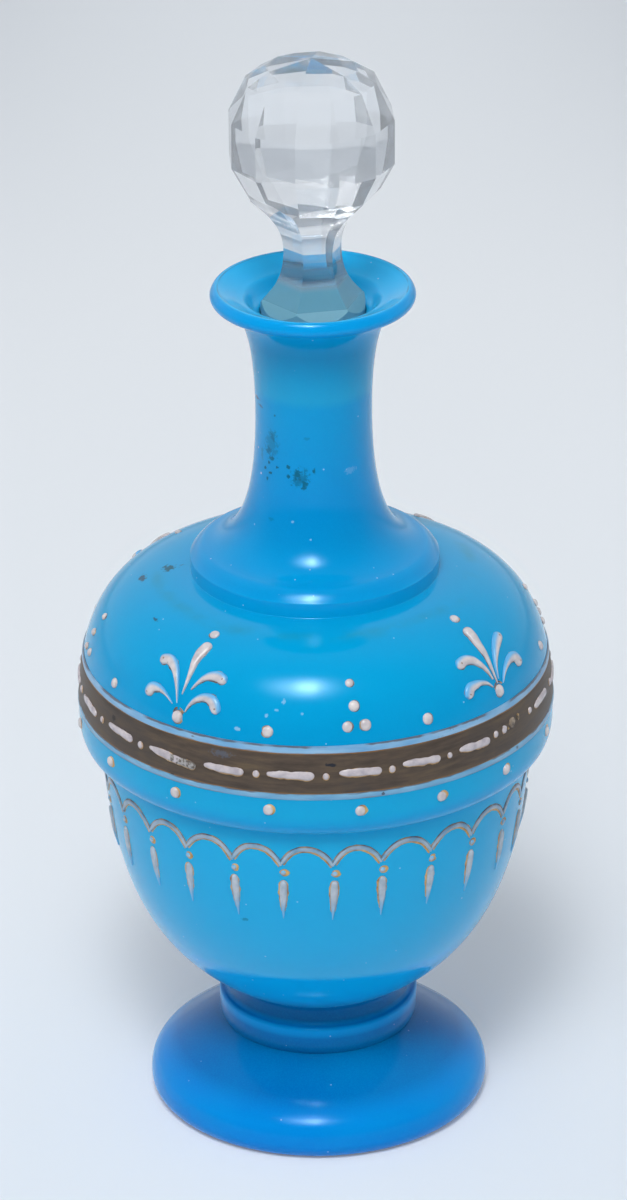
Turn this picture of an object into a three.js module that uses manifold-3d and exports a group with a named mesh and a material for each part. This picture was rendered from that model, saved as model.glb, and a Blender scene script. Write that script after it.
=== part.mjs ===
// A liqueur decanter of azure opaline glass, enamelled and gilt, with a stopper of clear cut glass.
// Millimetres, +Z up, the foot standing on z = 0 and the axis of the decanter on the Z axis.
// Angles go round from the front (-Y) towards +X.

import * as THREE from 'three';
import { mergeVertices } from 'three/addons/utils/BufferGeometryUtils.js';
import Module from 'manifold-3d';

// Foot
const footRadius = 39.2;
const footHeight = 19.1;
const footRimHeight = 9.2;
const footRimRound = 2.1;
const footDomeRise = 1.5;
const footHeelRise = 2.0;
const restOuterRadius = 36.8;
const restInnerRadius = 29.5;
const footHollowDepth = 2.2;
const footHollowEdge = 3.0;
const footHollowEdgeDepth = 1.8;

// Stem collar, between two flat seats of one radius
const seatRadius = 21.5;
const collarHeight = 11.3;
const collarRingRadius = 23.0;
const collarRingFrom = 2.2;
const collarRingTo = 5.4;
const collarRingRound = 0.6;
const collarWaistRadius = 21.2;
const collarWaistFall = 1.1;
const collarWaistFlare = 1.0;

// Body: the bowl, the belt that stands out over it, and the shoulder
const bowlHeight = 59.6;
const bowlRimRadius = 49.0;
const bowlLean = 0.532;
const bowlSweep = 0.364;
const bowlFullness = 0.514;
const bowlRimLean = 1.2;
const beltRadius = 54.1;
const beltRise = 8.0;
const beltUndercut = 3.4;
const beltTuck = 0.7;
const shoulderHeight = 35.4;
const shoulderFullness = 0.57;
const shoulderCrown = 0.81;
const shoulderFall = 1.6;
const wall = 4.0;
const shoulderWall = 3.2;
const floorThickness = 13.6;
const cavityCrown = 0.95;
const cavityShoulder = 0.5;
const cavitySide = 0.22;
const cavityFloor = 0.6;

// Neck, from the skirt on the shoulder to the lip
const skirtRadius = 27.8;
const skirtFoot = 0.5;
const skirtEdge = 4.7;
const skirtRound = 0.9;
const neckRadius = 13.1;
const neckWaistHeight = 37.6;
const flareReach = 10.7;
const flareRise = 7;
const waistReach = 22.5;
const throatFullness = 0.42;
const throatReach = 1.0;
const lipUnderHeight = 63.7;
const neckHeight = 67.6;
const lipRadius = 22.4;
const lipOverhang = 1.6;
const lipBulge = 0.6;
const lipUnderRise = 0.2;
const lipShoulderFall = 1.0;
const lipEdgeFall = 1.1;
const crestInset = 1.1;
const crestRound = 0.35;
const crestFall = 0.45;
const dishWidth = 5.6;
const dishDepth = 2.4;
const dishBend = 0.6;
const dishSag = 1.6;
const throatWidth = 1.05;
const throatFall = 2.2;
const mouthDepth = 3.4;
const mouthRound = 0.6;
const boreRadius = 9.9;

// Stopper: a ground peg, a hexagonal neck with hollow-cut sides, and a ball of cut facets
const pegTopRadius = 11.66;
const pegBottomRadius = 10.65;
const pegLength = 18.9;
const pegEdge = 0.55;
const pegSink = 5.2;
const drumHeight = 3.3;
const drumEdgeRise = 1.0;
const stopperNeckRadius = 6.57;
const stopperNeckLength = 27.2;
const stopperWaistHeight = 14.2;
const fluteFootRadius = 14.0;
const fluteHeelRadius = 9.33;
const fluteHeelRise = 2.0;
const fluteFall = 7.4;
const fluteRise = 5.0;
const fluteArchRadius = 9.1;
const fluteArchDrop = 4.6;
const fluteTopReach = 2.0;
const fluteTopRise = 1.2;
const ballRadius = 18.55;
const ballSkirtRadius = 14.2;
const ballSkirtHeight = 7.8;
const ballWaistHeight = 10.4;
const ballCrownRadius = 14.9;
const ballCrownHeight = 8.6;
const ballTableRadius = 8.6;
const ballTableHeight = 4.0;
const ballPointHeight = 1.3;
const ballFacets = 12;
const ballTurn = THREE.MathUtils.degToRad(-11.3);
const neckFacets = 6;
const neckTurn = THREE.MathUtils.degToRad(-18);
const blankMargin = 8;

// Clearances
const groundFit = 0.3;
const pegGap = 0.9;
const enamelGap = 0.2;

// Decoration: the gilt band between two enamel lines, on the belt and shoulder
const bandFrom = 12.0;
const bandWidth = 9.2;
const gildingThickness = 0.25;
const upperLineWidth = 2.0;
const lowerLineWidth = 1.4;
const lineRelief = 0.35;
const lineEdge = 0.2;
const dashCount = 22;
const dashLength = 9.5;
const dashWidth = 1.8;
const dashRelief = 0.5;
const dashSink = 0.2;
const dashTurn = THREE.MathUtils.degToRad(-6.2);
const beadWidth = 1.7;

// Decoration: the festoon of scallops under the belt, with a drop under each cusp
const scallopCount = 26;
const scallopTurn = THREE.MathUtils.degToRad(4.0);
const scallopDrop = 8.2;
const scallopRise = 4.3;
const scallopRoundness = 2.2;
const festoonWidth = 1.1;
const festoonRelief = 0.4;
const dropFrom = 12.6;
const dropLength = 10.6;
const dropWidth = 2.5;
const dropRelief = 0.65;

// Decoration: four palmettes of five petals over a dot, placed by eye above the band
const palmetteTurns = [-36.2, 52.0, 142.9, 232.9].map(THREE.MathUtils.degToRad);
const petalWidth = 2.7;
const petalRelief = 0.9;
const palmetteDotRise = 2.9;
const palmetteDotWidth = 2.6;

// Facets
const glassSides = 40;
const strokeSides = 4;
const scallopSteps = 4;
const closestRings = 0.05;
const crownHeight = Math.sin(Math.PI / (strokeSides - 1));

// Heights that follow from the sizes above
const bowlZ = footHeight + collarHeight;
const creaseZ = bowlZ + bowlHeight;
const beltZ = creaseZ + beltRise;
const neckZ = beltZ + shoulderHeight;
const crestZ = neckZ + neckHeight;
const mouthZ = crestZ - dishDepth - mouthDepth;
const pegTopZ = crestZ - pegSink;
const pegBottomZ = pegTopZ - pegLength;
const boreStepZ = pegBottomZ - pegGap;
const bandZ = creaseZ + bandFrom;
const bandTopZ = bandZ + bandWidth;

const azure = new THREE.Color(0x1e9bd8);
const deepAzure = new THREE.Color(0x0a7fc8);
const enamelWhite = new THREE.Color(0xd9cfd2);
const paleEnamel = new THREE.Color(0x9fc6e6);
const wornGilt = new THREE.Color(0x5b4d40);
const clearGlass = new THREE.Color(0xe8eef2);

const wasm = await Module();
wasm.setup();

function material(color, roughness, metalness = 0) {
  return new THREE.MeshStandardMaterial({ color, roughness, metalness });
}

function point(radius, height) {
  return new THREE.Vector2(radius, height);
}

// A round stretch of a profile, from start to end by two handles.
function sweep(start, startHandle, endHandle, end, steps) {
  const curve = new THREE.CubicBezierCurve(start, startHandle, endHandle, end);
  return curve.getPoints(steps);
}

// Profiles start and end on the axis, or close on themselves, and run upwards on their outer side.
function turned(profile, sides = glassSides, turn = 0) {
  const geometry = new THREE.LatheGeometry(profile, sides, turn);
  geometry.rotateX(Math.PI / 2);
  return geometry;
}

function piece(name, geometry, finish) {
  const mesh = new THREE.Mesh(geometry, finish);
  mesh.name = name;
  return mesh;
}

function toSolid(geometry) {
  const bare = geometry.clone();
  bare.deleteAttribute('normal');
  bare.deleteAttribute('uv');
  const merged = mergeVertices(bare);
  const vertProperties = new Float32Array(merged.attributes.position.array);
  const triVerts = new Uint32Array(merged.index.array);
  const mesh = new wasm.Mesh({ numProp: 3, vertProperties, triVerts });
  return new wasm.Manifold(mesh);
}

function toGeometry(solid) {
  const mesh = solid.getMesh();
  const geometry = new THREE.BufferGeometry();
  geometry.setAttribute('position', new THREE.BufferAttribute(mesh.vertProperties, 3));
  geometry.setIndex(new THREE.BufferAttribute(mesh.triVerts, 1));
  geometry.computeVertexNormals();
  return geometry;
}

// The outside of the body from its seat on the collar to its seat for the neck.
function bodyOutline() {
  const bowl = sweep(
    point(seatRadius, bowlZ),
    point(
      seatRadius + bowlHeight * bowlSweep * Math.cos(bowlLean),
      bowlZ + bowlHeight * bowlSweep * Math.sin(bowlLean),
    ),
    point(bowlRimRadius - bowlRimLean, creaseZ - bowlHeight * bowlFullness),
    point(bowlRimRadius, creaseZ),
    9,
  );
  const belt = sweep(
    point(bowlRimRadius, creaseZ),
    point(beltRadius - beltTuck, creaseZ + beltTuck),
    point(beltRadius, creaseZ + beltUndercut),
    point(beltRadius, beltZ),
    4,
  );
  const shoulder = sweep(
    point(beltRadius, beltZ),
    point(beltRadius, beltZ + shoulderHeight * shoulderFullness),
    point(skirtRadius + (beltRadius - skirtRadius) * shoulderCrown, neckZ - shoulderFall),
    point(skirtRadius - skirtFoot, neckZ),
    9,
  );
  return [...bowl, ...belt.slice(1), ...shoulder.slice(1)];
}

// The outside of the body as a line that decoration is laid along: a height gives a length up
// the line, and a length gives the radius, the height and the way out of the glass.
function layingLine(outline) {
  const lengths = [0];
  for (let i = 1; i < outline.length; i += 1) {
    lengths.push(lengths[i - 1] + outline[i].distanceTo(outline[i - 1]));
  }
  function lengthAt(height) {
    let i = 1;
    while (i < outline.length - 1 && outline[i].y < height) {
      i += 1;
    }
    const share = (height - outline[i - 1].y) / (outline[i].y - outline[i - 1].y);
    return THREE.MathUtils.lerp(lengths[i - 1], lengths[i], share);
  }
  function at(length) {
    let i = 1;
    while (i < lengths.length - 1 && lengths[i] < length) {
      i += 1;
    }
    const share = (length - lengths[i - 1]) / (lengths[i] - lengths[i - 1]);
    const place = outline[i - 1].clone().lerp(outline[i], share);
    const along = outline[i].clone().sub(outline[i - 1]).normalize();
    return { radius: place.x, height: place.y, out: point(along.y, -along.x) };
  }
  return { lengthAt, at };
}

const outline = bodyOutline();
const glassLine = layingLine(outline);

// The stretch of the body's outside between two heights, moved out by a thickness.
function glassBetween(from, to, out) {
  const start = glassLine.at(glassLine.lengthAt(from));
  const end = glassLine.at(glassLine.lengthAt(to));
  const between = outline.filter((p) => p.y > from + closestRings && p.y < to - closestRings);
  const line = [point(start.radius, from), ...between, point(end.radius, to)];
  return line.map((p) => point(p.x + out, p.y));
}

// A point laid on the glass, with the way out of the glass there.
function onGlass(angle, length, lift) {
  const { radius, height, out } = glassLine.at(length);
  const reach = radius + out.x * lift;
  return {
    place: new THREE.Vector3(
      Math.sin(angle) * reach,
      -Math.cos(angle) * reach,
      height + out.y * lift,
    ),
    out: new THREE.Vector3(Math.sin(angle) * out.x, -Math.cos(angle) * out.x, out.y),
    radius,
  };
}

// A stroke of raised enamel: a flat back on the glass and a rounded face, along a path of
// { angle, length, share } points on the glass, each with its share of the stroke's full width.
// A closed stroke joins its end to its start.
function stroke(path, width, relief, lift, closed = false) {
  const centres = path.map((p) => onGlass(p.angle, p.length, lift));
  const count = path.length;
  const positions = [];
  for (let i = 0; i < count; i += 1) {
    const before = closed ? (i + count - 1) % count : Math.max(i - 1, 0);
    const after = closed ? (i + 1) % count : Math.min(i + 1, count - 1);
    const { place, out } = centres[i];
    const along = centres[after].place.clone().sub(centres[before].place);
    const across = new THREE.Vector3().crossVectors(along, out).normalize();
    const half = (path[i].share * width) / 2;
    const rise = (path[i].share * relief) / crownHeight;
    for (let side = 0; side < strokeSides; side += 1) {
      const turn = (Math.PI * side) / (strokeSides - 1);
      const corner = place.clone()
        .addScaledVector(across, Math.cos(turn) * half)
        .addScaledVector(out, Math.sin(turn) * rise);
      positions.push(corner.x, corner.y, corner.z);
    }
  }
  const index = [];
  const spans = closed ? count : count - 1;
  for (let i = 0; i < spans; i += 1) {
    const here = i * strokeSides;
    const next = ((i + 1) % count) * strokeSides;
    for (let side = 0; side < strokeSides; side += 1) {
      const other = (side + 1) % strokeSides;
      index.push(here + side, next + side, next + other);
      index.push(here + side, next + other, here + other);
    }
  }
  if (!closed) {
    const last = (count - 1) * strokeSides;
    for (let side = 1; side < strokeSides - 1; side += 1) {
      index.push(0, side, side + 1);
      index.push(last, last + side + 1, last + side);
    }
  }
  const geometry = new THREE.BufferGeometry();
  geometry.setAttribute('position', new THREE.Float32BufferAttribute(positions, 3));
  geometry.setIndex(index);
  geometry.computeVertexNormals();
  return geometry;
}

// A round dot of enamel, as a short stroke that narrows at both ends.
function dot(angle, length, width, relief, lift) {
  const shape = [[-0.5, 0.4], [-0.3, 1], [0.3, 1], [0.5, 0.4]];
  const path = shape.map(([up, share]) => ({ angle, length: length + up * width, share }));
  return stroke(path, width, relief, lift);
}

function foot() {
  const edge = point(footRadius - footRimRound, footRimHeight + footRimRound * 0.6);
  const seat = point(seatRadius, footHeight);
  const dome = (share, rise = 0) => edge.clone().lerp(seat, share).add(point(0, rise));
  const profile = [
    point(0, footHollowDepth),
    point(restInnerRadius - footHollowEdge, footHollowEdgeDepth),
    point(restInnerRadius, 0),
    point(restOuterRadius, 0),
    ...sweep(
      point(restOuterRadius, 0),
      point(footRadius, 0),
      point(footRadius, footHeelRise),
      point(footRadius, footRimHeight - footRimRound * 2),
      3,
    ).slice(1),
    ...sweep(
      point(footRadius, footRimHeight - footRimRound * 2),
      point(footRadius, footRimHeight - footRimRound),
      point(footRadius - footRimRound * 0.4, footRimHeight),
      edge,
      3,
    ).slice(1),
    ...sweep(dome(0), dome(0.4, footDomeRise), dome(0.75, footDomeRise * 0.6), dome(1), 4).slice(1),
    point(0, footHeight),
  ];
  return piece('foot', turned(profile), material(deepAzure, 0.18));
}

function stemCollar() {
  const seat = footHeight;
  const profile = [
    point(0, seat),
    point(seatRadius, seat),
    point(seatRadius, seat + collarRingFrom - collarRingRound),
    point(collarRingRadius, seat + collarRingFrom),
    point(collarRingRadius, seat + collarRingTo - collarRingRound),
    point(collarRingRadius - collarRingRound, seat + collarRingTo),
    point(collarWaistRadius, seat + collarRingTo + collarWaistFall),
    point(collarWaistRadius, bowlZ - collarWaistFlare),
    point(seatRadius, bowlZ),
    point(0, bowlZ),
  ];
  return piece('stem_collar', turned(profile), material(azure, 0.18));
}

function body() {
  const innerRim = bowlRimRadius - wall;
  const innerBelt = beltRadius - wall;
  const floorZ = bowlZ + floorThickness;
  const cavity = [
    ...sweep(
      point(boreRadius, neckZ - shoulderWall),
      point(innerBelt * cavityCrown, neckZ - shoulderWall),
      point(innerBelt, beltZ + shoulderHeight * cavityShoulder),
      point(innerBelt, beltZ),
      6,
    ),
    ...sweep(
      point(innerBelt, beltZ),
      point(innerBelt, creaseZ + beltTuck * 2),
      point(innerRim, creaseZ + beltTuck * 2),
      point(innerRim, creaseZ - beltRise),
      2,
    ).slice(1),
    ...sweep(
      point(innerRim, creaseZ - beltRise),
      point(innerRim, floorZ + (creaseZ - floorZ) * cavitySide),
      point(innerRim * cavityFloor, floorZ),
      point(0, floorZ),
      7,
    ).slice(1),
  ];
  const profile = [
    point(0, bowlZ),
    ...outline,
    point(boreRadius, neckZ),
    ...cavity,
  ];
  return piece('body', turned(profile), material(azure, 0.16));
}

function neck() {
  const underZ = neckZ + lipUnderHeight;
  const waistZ = neckZ + neckWaistHeight;
  const edgeZ = neckZ + skirtEdge;
  const crestRadius = lipRadius - crestInset;
  const groundTop = pegTopRadius + groundFit;
  const groundBottom = pegBottomRadius + groundFit;
  const profile = [
    point(boreRadius, neckZ),
    point(skirtRadius - skirtFoot, neckZ),
    point(skirtRadius, neckZ + skirtRound),
    point(skirtRadius, edgeZ - skirtRound),
    ...sweep(
      point(skirtRadius - skirtRound, edgeZ),
      point(skirtRadius - skirtRound - flareReach, edgeZ + flareRise),
      point(neckRadius, waistZ - waistReach),
      point(neckRadius, waistZ),
      8,
    ),
    ...sweep(
      point(neckRadius, waistZ),
      point(neckRadius, waistZ + (underZ - waistZ) * throatFullness),
      point(neckRadius + throatReach, underZ),
      point(lipRadius - lipOverhang, underZ),
      8,
    ).slice(1),
    ...sweep(
      point(lipRadius - lipOverhang, underZ),
      point(lipRadius, underZ + lipUnderRise),
      point(lipRadius + lipBulge, crestZ - lipEdgeFall - lipShoulderFall),
      point(lipRadius, crestZ - lipEdgeFall),
      3,
    ).slice(1),
    point(lipRadius - crestRound, crestZ - crestRound),
    point(crestRadius, crestZ),
    point(crestRadius - crestInset, crestZ - crestFall),
    point(crestRadius - dishWidth * dishBend, crestZ - dishSag),
    point(crestRadius - dishWidth, crestZ - dishDepth),
    point(groundTop + mouthRound + throatWidth, crestZ - dishDepth - throatFall),
    point(groundTop + mouthRound, mouthZ + mouthRound),
    point(groundTop, mouthZ),
    point(groundBottom, boreStepZ),
    point(boreRadius, boreStepZ - mouthRound),
    point(boreRadius, neckZ),
  ];
  return piece('neck', turned(profile), material(azure, 0.16));
}

// The stopper is ground and cut from one casting: the ball's facets, the six hollow-cut sides
// of its neck and the round peg each cut the same blank.
function stopper() {
  const drumTopZ = pegTopZ + drumHeight;
  const waistZ = pegTopZ + stopperWaistHeight;
  const neckTopZ = pegTopZ + stopperNeckLength;
  const ballZ = neckTopZ + ballSkirtHeight;
  const crownZ = ballZ + ballWaistHeight + ballCrownHeight;
  const tableZ = crownZ + ballTableHeight;
  const apexZ = tableZ + ballPointHeight;
  const blankRadius = ballRadius + blankMargin;
  const blankZ = apexZ + blankMargin;
  const lowZ = pegBottomZ - blankMargin;
  const ball = [
    point(0, lowZ),
    point(ballSkirtRadius, lowZ),
    point(ballSkirtRadius, neckTopZ),
    point(ballRadius, ballZ),
    point(ballRadius, ballZ + ballWaistHeight),
    point(ballCrownRadius, crownZ),
    point(ballTableRadius, tableZ),
    point(0, apexZ),
  ];
  const flutes = [
    point(0, lowZ),
    point(fluteFootRadius, lowZ),
    point(fluteFootRadius, pegTopZ),
    ...sweep(
      point(fluteFootRadius, pegTopZ),
      point(fluteHeelRadius, drumTopZ + fluteHeelRise),
      point(stopperNeckRadius, waistZ - fluteFall),
      point(stopperNeckRadius, waistZ),
      6,
    ).slice(1),
    ...sweep(
      point(stopperNeckRadius, waistZ),
      point(stopperNeckRadius, waistZ + fluteRise),
      point(fluteArchRadius, neckTopZ - fluteArchDrop),
      point(ballSkirtRadius + fluteTopReach, neckTopZ + fluteTopRise),
      6,
    ).slice(1),
    point(blankRadius, ballZ),
    point(blankRadius, blankZ),
    point(0, blankZ),
  ];
  const round = [
    point(0, pegBottomZ),
    point(pegBottomRadius - pegEdge, pegBottomZ),
    point(pegBottomRadius, pegBottomZ + pegEdge),
    point(pegTopRadius, pegTopZ),
    point(pegTopRadius, drumTopZ),
    point(blankRadius, drumTopZ + drumEdgeRise),
    point(blankRadius, blankZ),
    point(0, blankZ),
  ];
  const solid = toSolid(turned(ball, ballFacets, ballTurn))
    .intersect(toSolid(turned(flutes, neckFacets, neckTurn)))
    .intersect(toSolid(turned(round)));
  return piece('stopper', toGeometry(solid), material(clearGlass, 0.05));
}

// A ring round the belt between two heights: its back follows the glass, its face is rounded.
function enamelLine(name, from, width, lift, finish) {
  const back = glassBetween(from, from + width, enamelGap);
  const edge = width * lineEdge;
  const face = glassBetween(from + edge, from + width - edge, enamelGap + lift);
  const profile = [...face, ...back.reverse(), face[0]];
  return piece(name, turned(profile), finish);
}

// The gilt band carries its row of raised dashes, with a bead between each two.
function giltBand() {
  const back = glassBetween(bandZ, bandTopZ, enamelGap);
  const face = glassBetween(bandZ, bandTopZ, enamelGap + gildingThickness);
  let solid = toSolid(turned([...face, ...back.reverse(), face[0]]));
  const middle = glassLine.lengthAt((bandZ + bandTopZ) / 2);
  const lift = enamelGap + gildingThickness - dashSink;
  const step = (Math.PI * 2) / dashCount;
  const reach = dashLength / beltRadius;
  const dashShape = [[-0.5, 0.45], [-0.42, 1], [0, 1], [0.42, 1], [0.5, 0.45]];
  for (let i = 0; i < dashCount; i += 1) {
    const centre = dashTurn + i * step;
    const path = dashShape.map(([across, share]) => ({
      angle: centre + across * reach,
      length: middle,
      share,
    }));
    const dash = stroke(path, dashWidth, dashRelief + dashSink, lift);
    const bead = dot(centre + step / 2, middle, beadWidth, dashRelief, lift);
    solid = solid.add(toSolid(dash)).add(toSolid(bead));
  }
  return piece('gilt_band', toGeometry(solid), material(wornGilt, 0.4, 0.7));
}

function festoonLine() {
  const path = [];
  const scallop = (Math.PI * 2) / scallopCount;
  const cuspZ = creaseZ - scallopDrop;
  for (let i = 0; i < scallopCount * scallopSteps; i += 1) {
    const across = (i % scallopSteps) / scallopSteps;
    const arch = 1 - Math.abs(2 * across - 1) ** scallopRoundness;
    path.push({
      angle: scallopTurn + (i / scallopSteps) * scallop,
      length: glassLine.lengthAt(cuspZ + arch * scallopRise),
      share: 1,
    });
  }
  const geometry = stroke(path, festoonWidth, festoonRelief, enamelGap, true);
  return piece('festoon_line', geometry, material(paleEnamel, 0.35));
}

function festoonDrop(number) {
  const angle = scallopTurn + ((number - 1) * Math.PI * 2) / scallopCount;
  const top = glassLine.lengthAt(creaseZ - dropFrom);
  const shape = [[0, 0.5], [0.1, 0.9], [0.3, 1], [0.6, 0.6], [1, 0.12]];
  const path = shape.map(([down, share]) => ({ angle, length: top - down * dropLength, share }));
  const geometry = stroke(path, dropWidth, dropRelief, enamelGap);
  const name = `festoon_drop_${String(number).padStart(2, '0')}`;
  return piece(name, geometry, material(enamelWhite, 0.35));
}

// Petals of a palmette by their middle lines, as sideways and upward millimetres on the glass
// from the foot of the palmette: the tall middle petal, and one of each pair at its sides.
const petalLines = {
  middle: [[0, 5.4], [0, 8.6], [0, 11.8], [0, 14.8], [0, 17.6], [0, 19.0]],
  high: [[0.9, 6.0], [1.6, 8.4], [2.8, 10.6], [4.4, 12.3], [6.3, 13.2], [7.8, 13.1]],
  low: [[1.9, 4.7], [3.3, 6.3], [5.0, 7.3], [6.9, 7.6], [8.4, 7.0], [9.1, 6.0]],
};
const petalShares = [0.14, 0.42, 0.68, 0.9, 1, 0.5];

function palmette(number) {
  const middle = palmetteTurns[number - 1];
  const base = glassLine.lengthAt(bandTopZ + upperLineWidth);
  const pieces = [];
  const petals = [
    ['low_left', petalLines.low, -1],
    ['high_left', petalLines.high, -1],
    ['middle', petalLines.middle, 1],
    ['high_right', petalLines.high, 1],
    ['low_right', petalLines.low, 1],
  ];
  for (const [place, line, side] of petals) {
    const path = line.map(([across, up], i) => {
      const { radius } = glassLine.at(base + up);
      return {
        angle: middle + (side * across) / radius,
        length: base + up,
        share: petalShares[i],
      };
    });
    const geometry = stroke(path, petalWidth, petalRelief, enamelGap);
    pieces.push(piece(`palmette_${number}_${place}`, geometry, material(enamelWhite, 0.35)));
  }
  const bead = dot(middle, base + palmetteDotRise, palmetteDotWidth, petalRelief, enamelGap);
  pieces.push(piece(`palmette_${number}_dot`, bead, material(enamelWhite, 0.35)));
  return pieces;
}

const decanter = new THREE.Group();
decanter.add(foot(), stemCollar(), body(), neck(), stopper());
decanter.add(giltBand());
decanter.add(enamelLine('upper_enamel_line', bandTopZ, upperLineWidth, lineRelief,
  material(paleEnamel, 0.3)));
decanter.add(enamelLine('lower_enamel_line', bandZ - lowerLineWidth, lowerLineWidth, lineRelief,
  material(paleEnamel, 0.3)));
decanter.add(festoonLine());
for (let number = 1; number <= scallopCount; number += 1) {
  decanter.add(festoonDrop(number));
}
for (let number = 1; number <= palmetteTurns.length; number += 1) {
  decanter.add(...palmette(number));
}

export default decanter;
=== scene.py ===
# A liqueur decanter of azure opaline glass, enamelled and gilt, with a stopper of clear cut glass.
# The frame is in metres, with +Z up. Sizes below are in millimetres, and mm turns them into metres.
# Angles go round from the front (-Y) towards +X.

import math
import random

import bmesh
import bpy
from mathutils import Matrix, Vector, noise


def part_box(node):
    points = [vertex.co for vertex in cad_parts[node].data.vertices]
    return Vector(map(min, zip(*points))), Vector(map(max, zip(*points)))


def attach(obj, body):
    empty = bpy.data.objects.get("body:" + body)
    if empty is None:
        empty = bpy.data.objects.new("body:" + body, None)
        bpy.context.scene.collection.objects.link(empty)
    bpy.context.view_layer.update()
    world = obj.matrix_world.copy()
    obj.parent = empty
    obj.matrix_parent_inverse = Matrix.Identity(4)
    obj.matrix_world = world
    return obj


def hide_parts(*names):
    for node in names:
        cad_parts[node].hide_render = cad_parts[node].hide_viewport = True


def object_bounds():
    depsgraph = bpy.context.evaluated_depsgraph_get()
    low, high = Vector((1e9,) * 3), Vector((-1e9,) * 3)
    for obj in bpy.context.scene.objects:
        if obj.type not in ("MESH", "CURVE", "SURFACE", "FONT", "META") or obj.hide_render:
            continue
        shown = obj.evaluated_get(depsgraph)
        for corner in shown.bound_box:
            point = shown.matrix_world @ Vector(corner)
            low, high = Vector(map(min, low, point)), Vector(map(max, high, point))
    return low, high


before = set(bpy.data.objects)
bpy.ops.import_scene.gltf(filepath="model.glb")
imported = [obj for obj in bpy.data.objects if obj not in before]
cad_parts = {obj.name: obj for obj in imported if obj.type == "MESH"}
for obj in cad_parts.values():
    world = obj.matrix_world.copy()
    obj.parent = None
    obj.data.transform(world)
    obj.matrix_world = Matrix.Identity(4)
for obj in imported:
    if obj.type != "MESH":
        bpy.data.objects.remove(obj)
cad_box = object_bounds()
mm = 0.001


# Foot: a solid disc of opaline glass, gathered on below the stem and pressed out while hot.
# Its rim is rounded over, and underneath it stands on a ground ring round a shallow hollow.
# The glass is azure right through, with a milky body, a polished face and a few trapped specks.

glass_sides = 160
foot_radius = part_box("foot")[1].x / mm
foot_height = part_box("foot")[1].z / mm
foot_rim_height = 8.3
foot_rim_round = 2.5
foot_dome_rise = 1.2
foot_heel_rise = 3.2
foot_heel_tuck = 1.2
rest_outer_radius = 35.8
rest_inner_radius = 29.5
foot_hollow_depth = 2.2
foot_hollow_edge = 3.0
foot_hollow_edge_depth = 1.8
seat_radius = 21.5
total_height = cad_box[1][2] / mm
axis_reach = 1e-6
crisp_turn = math.radians(38)
stain_reach = 4.0
curve_steps = 16
glass_index = 1.5


def rgb(red, green, blue):
    """A colour for a shader, from its values on a screen, 0 to 255."""
    values = []
    for value in (red, green, blue):
        share = value / 255
        values.append(share / 12.92 if share <= 0.04045 else ((share + 0.055) / 1.055) ** 2.4)
    return (*values, 1.0)


def profile(*parts):
    """Points of a profile. A part is a point, (radius, height), or a list for a round stretch.

    The stretch starts at the point before it. Its list has two handles, its end and its steps.
    """
    points = []
    for part in parts:
        if not isinstance(part, list):
            points.append(Vector(part))
            continue
        start = points[-1]
        first, second, end = [Vector(point) for point in part[:3]]
        steps = part[3] if len(part) > 3 else curve_steps
        for i in range(1, steps + 1):
            t = i / steps
            s = 1 - t
            points.append(
                start * s**3 + first * (3 * s * s * t) + second * (3 * s * t * t) + end * t**3
            )
    return points


def round_axis(angle, radius, height):
    """A point at an angle round the decanter's axis, in metres."""
    return Vector((math.sin(angle) * radius, -math.cos(angle) * radius, height)) * mm


def turned(points, sides=glass_sides, turn=0.0, ring=False):
    """A turned shape. Its profile starts and ends on the axis, or a ring's closes on itself."""
    shape = bmesh.new()
    rows = []
    for radius, height in points:
        if radius < axis_reach:
            rows.append([shape.verts.new((0, 0, height * mm))] * sides)
            continue
        angles = [turn + math.tau * i / sides for i in range(sides)]
        rows.append([shape.verts.new(round_axis(angle, radius, height)) for angle in angles])
    lower_rows = rows if ring else rows[:-1]
    for lower, upper in zip(lower_rows, rows[1:] + rows[:1]):
        for i in range(sides):
            j = (i + 1) % sides
            corners = dict.fromkeys((lower[i], lower[j], upper[j], upper[i]))
            shape.faces.new(list(corners))
    return shape


def in_scene(name, data):
    """A new object in the scene, at the origin."""
    made = bpy.data.objects.new(name, data)
    bpy.context.scene.collection.objects.link(made)
    return made


def made_of(name, shape, finishes=()):
    """An object of a shape and its materials. The shape is used up."""
    mesh = bpy.data.meshes.new(name)
    shape.to_mesh(mesh)
    shape.free()
    for finish in finishes:
        mesh.materials.append(finish)
    return in_scene(name, mesh)


def piece(name, shape, finishes, replaced=(), body="decanter", crisp=crisp_turn):
    """Makes a piece of a shape, smooth but for the edges that turn by more than crisp."""
    bmesh.ops.recalc_face_normals(shape, faces=shape.faces)
    for face in shape.faces:
        face.smooth = True
    for edge in shape.edges:
        edge.smooth = edge.calc_face_angle(0) < crisp
    made = made_of(name, shape, finishes)
    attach(made, body)
    if replaced:
        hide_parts(*replaced)


def put(kind, inputs=None, tree=None, **settings):
    """Adds a shader node to a tree, or to its inputs' tree. An input is a value or an output."""
    for value in (inputs or {}).values():
        if isinstance(value, bpy.types.NodeSocket):
            tree = value.id_data
    made = tree.nodes.new("ShaderNode" + kind)
    for setting, value in settings.items():
        setattr(made, setting, value)
    for place, value in (inputs or {}).items():
        if isinstance(value, bpy.types.NodeSocket):
            tree.links.new(value, made.inputs[place])
        else:
            made.inputs[place].default_value = value
    return made


def new_finish(name):
    """An empty material, and the place of a point of the piece, in metres."""
    finish = bpy.data.materials.new(name)
    finish.use_nodes = True
    finish.node_tree.nodes.clear()
    return finish, put("TexCoord", tree=finish.node_tree).outputs["Object"]


def height_of(place):
    """How high a place lies."""
    return put("SeparateXYZ", {0: place}).outputs["Z"]


def size_of(vector):
    """The length of a vector."""
    made = put("VectorMath", {0: vector}, operation="LENGTH")
    return made.outputs["Value"]


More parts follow.
